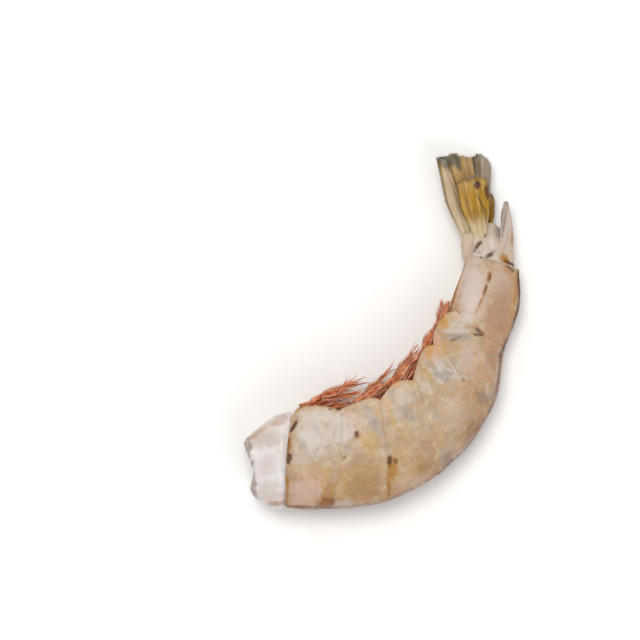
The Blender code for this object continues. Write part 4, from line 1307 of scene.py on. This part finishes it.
def loose_strands(name, number, centre, half, flat, forward, seed):
    """Strands that hang from a leg's blade."""
    draw = np.random.default_rng(seed)
    at = draw.integers(6, len(centre), STRANDS)
    roots = centre[at] + flat[at] * (half[at] * draw.uniform(-0.9, 0.9, (STRANDS, 1)))
    ways = unit(forward[at] + draw.normal(0, STRAND_STRAY, (STRANDS, 3)) * (1, 1, 0.7))
    lengths = STRAND_LENGTHS[number] * draw.uniform(0.5, 1.1, STRANDS)
    droop = draw.normal(0, STRAND_DROOP, (STRANDS, 3))
    shades = draw.random(STRANDS)
    return bristles(name + "_strands", roots, ways, lengths, droop, STRAND_WIDTH, LEG_STRAND, shades)


def make_leg_blade(label, number, side, index):
    """A leaf-like blade of a leg with its fringe and its loose strands."""
    sway, twist, broad, rise = LEG_BLADES[index]
    own = LEG_UNEVENNESS * math.sin(2.3 * number + 1.7 * side + 4.1 * index)
    t, points, forward, face = leg_path(number, side, sway + own + LEFT_LEG_SWAY * (side < 0))
    points = step(points, (face, dents(points, (*LEG_WAVE, number + 0.3 * index))))
    blade = t >= STALK_SHARE * 0.85
    t, points, forward, face = t[blade], points[blade], forward[blade], face[blade]
    reach = (t - t[0]) / (1 - t[0])
    turn = math.radians(twist)
    flat = UP * math.cos(turn) + face * math.sin(turn)
    thin = unit(np.cross(forward, flat))
    half = broad * np.sin(math.pi * (0.12 + 0.86 * reach) ** 0.8)[:, None]
    a = np.linspace(-1, 1, LEG_COLUMNS)[None]
    centre = step(points, (UP, rise * reach))
    body = LEG_BLADE_BODY * np.sqrt(np.maximum(1 - a * a, 0)) * (1 - 0.6 * reach[:, None]) + LEG_BLADE_EDGE
    cup = LEG_BLADE_CUP * half * (1 - a * a)
    flat_points = step(centre[:, None], (flat[:, None], half * a))
    top, bottom = (step(flat_points, (thin[:, None], cup + thick)) for thick in (body, -body))
    # Darker towards the root, the leg's own colour, and darker all over on the left legs, which lie under the
    # right ones: painted shade.
    depth = 0.45 * (side < 0) + 0.5 * ease(1 - reach[:, None] / 0.4)
    marks = {"root": depth + 0 * a, "rim": 0.8 * ease((np.abs(a) - 0.6) / 0.3) + 0 * half}
    name = f"{label}_blade_{index + 1}"
    settle(sheet_piece(name, top, bottom, marks, SWIMMERET), "swimmeret")
    middle = (top + bottom) / 2
    edge = np.concatenate([middle[4:, 0], middle[4:, -1][::-1]])
    out = np.concatenate([-flat[4:], flat[4:][::-1]])
    seed = 100 * number + 10 * index + side
    hairs = fringe(
        name + "_fringe", edge, out, forward[-1], thin[-1], LEG_FRINGE_LENGTH, LEG_FRINGE_HAIRS,
        LEG_BRISTLE, seed + 1,
    )
    settle(hairs, "swimmeret")
    settle(loose_strands(name, number, centre, half, flat, forward, seed + 500), "swimmeret")


def make_swimmeret(number, side):
    """A stalk and two leaf-like blades with fringes, folded back along the belly."""
    label = f"swimmeret_{'right' if side > 0 else 'left'}_{number + 1}"
    settle(leg_stalk(label, number, side), "swimmeret", label)
    settle(belly_strands(label, number, side), "swimmeret")
    for index in range(len(LEG_BLADES)):
        make_leg_blade(label, number, side, index)


# ---------------------------------------------------------------- ground, light and camera

MIDDLE = (CAD_BOX[0] + CAD_BOX[1]) / 2
# In metres: the ground's width, and for each lamp its name, place from the middle, breadth, watts and tint.
GROUND_WIDTH = 1.2
LAMPS = (
    ("key_softbox", (-0.10, 0.18, 0.68), 0.34, 2.8, "#fffdf9"),
    ("fill_softbox", (0.36, -0.40, 0.55), 0.60, 1.2, "#f6f8ff"),
)
SKY_STRENGTH = 0.48
FRAME_WIDTH = 153.6
LENS = 135.0
SENSOR = 36.0
# The camera's aim from the middle of the object, and the height of the plane in focus of the frame.
AIM_OFFSET = (-15.5, 3.1)
AIM_HEIGHT = 9.0


def make_ground():
    board = bpy.data.meshes.new("ground")
    half = GROUND_WIDTH / 2
    corners = [(-half, -half, 0), (half, -half, 0), (half, half, 0), (-half, half, 0)]
    board.from_pydata(corners, [], [(0, 1, 2, 3)])
    board.materials.append(white_board())
    ground = bpy.data.objects.new("ground", board)
    ground.location.z = CAD_BOX[0].z
    bpy.context.scene.collection.objects.link(ground)


def light_scene():
    for name, place, breadth, watts, tint in LAMPS:
        lamp = bpy.data.lights.new(name, "AREA")
        lamp.shape = "DISK"
        lamp.size = breadth
        lamp.energy = watts
        lamp.color = paint(tint)[:3]
        light = bpy.data.objects.new(name, lamp)
        light.location = MIDDLE + Vector(place)
        light.rotation_euler = (-Vector(place)).to_track_quat("-Z", "Y").to_euler()
        bpy.context.scene.collection.objects.link(light)
    world = bpy.data.worlds.new("white_room")
    bpy.context.scene.world = world
    world.use_nodes = True
    sky = world.node_tree.nodes["Background"]
    sky.inputs["Color"].default_value = paint("#ffffff")
    sky.inputs["Strength"].default_value = SKY_STRENGTH
    bpy.context.scene.view_settings.view_transform = "Standard"


def set_camera():
    eye = bpy.data.cameras.new("overhead")
    eye.lens = LENS
    eye.sensor_width = SENSOR
    eye.clip_start = 0.01
    camera = bpy.data.objects.new("overhead", eye)
    distance = FRAME_WIDTH * LENS / SENSOR
    camera.location = (
        MIDDLE.x + AIM_OFFSET[0] * MM, MIDDLE.y + AIM_OFFSET[1] * MM,
        CAD_BOX[0].z + (AIM_HEIGHT + distance) * MM,
    )
    bpy.context.scene.collection.objects.link(camera)
    bpy.context.scene.camera = camera


make_meat()
for plate in range(len(SEGMENT_LENGTHS)):
    make_plate(plate)
make_root_skin()
make_telson()
for joint_name, joint in PROTOPODS.items():
    make_protopod(joint_name, **joint)
for blade_name, blade in UROPODS.items():
    make_uropod(blade_name, **blade)
for pair in range(len(SWIMMERETS)):
    for leg_side in (1, -1):
        make_swimmeret(pair, leg_side)
make_ground()
light_scene()
set_camera()
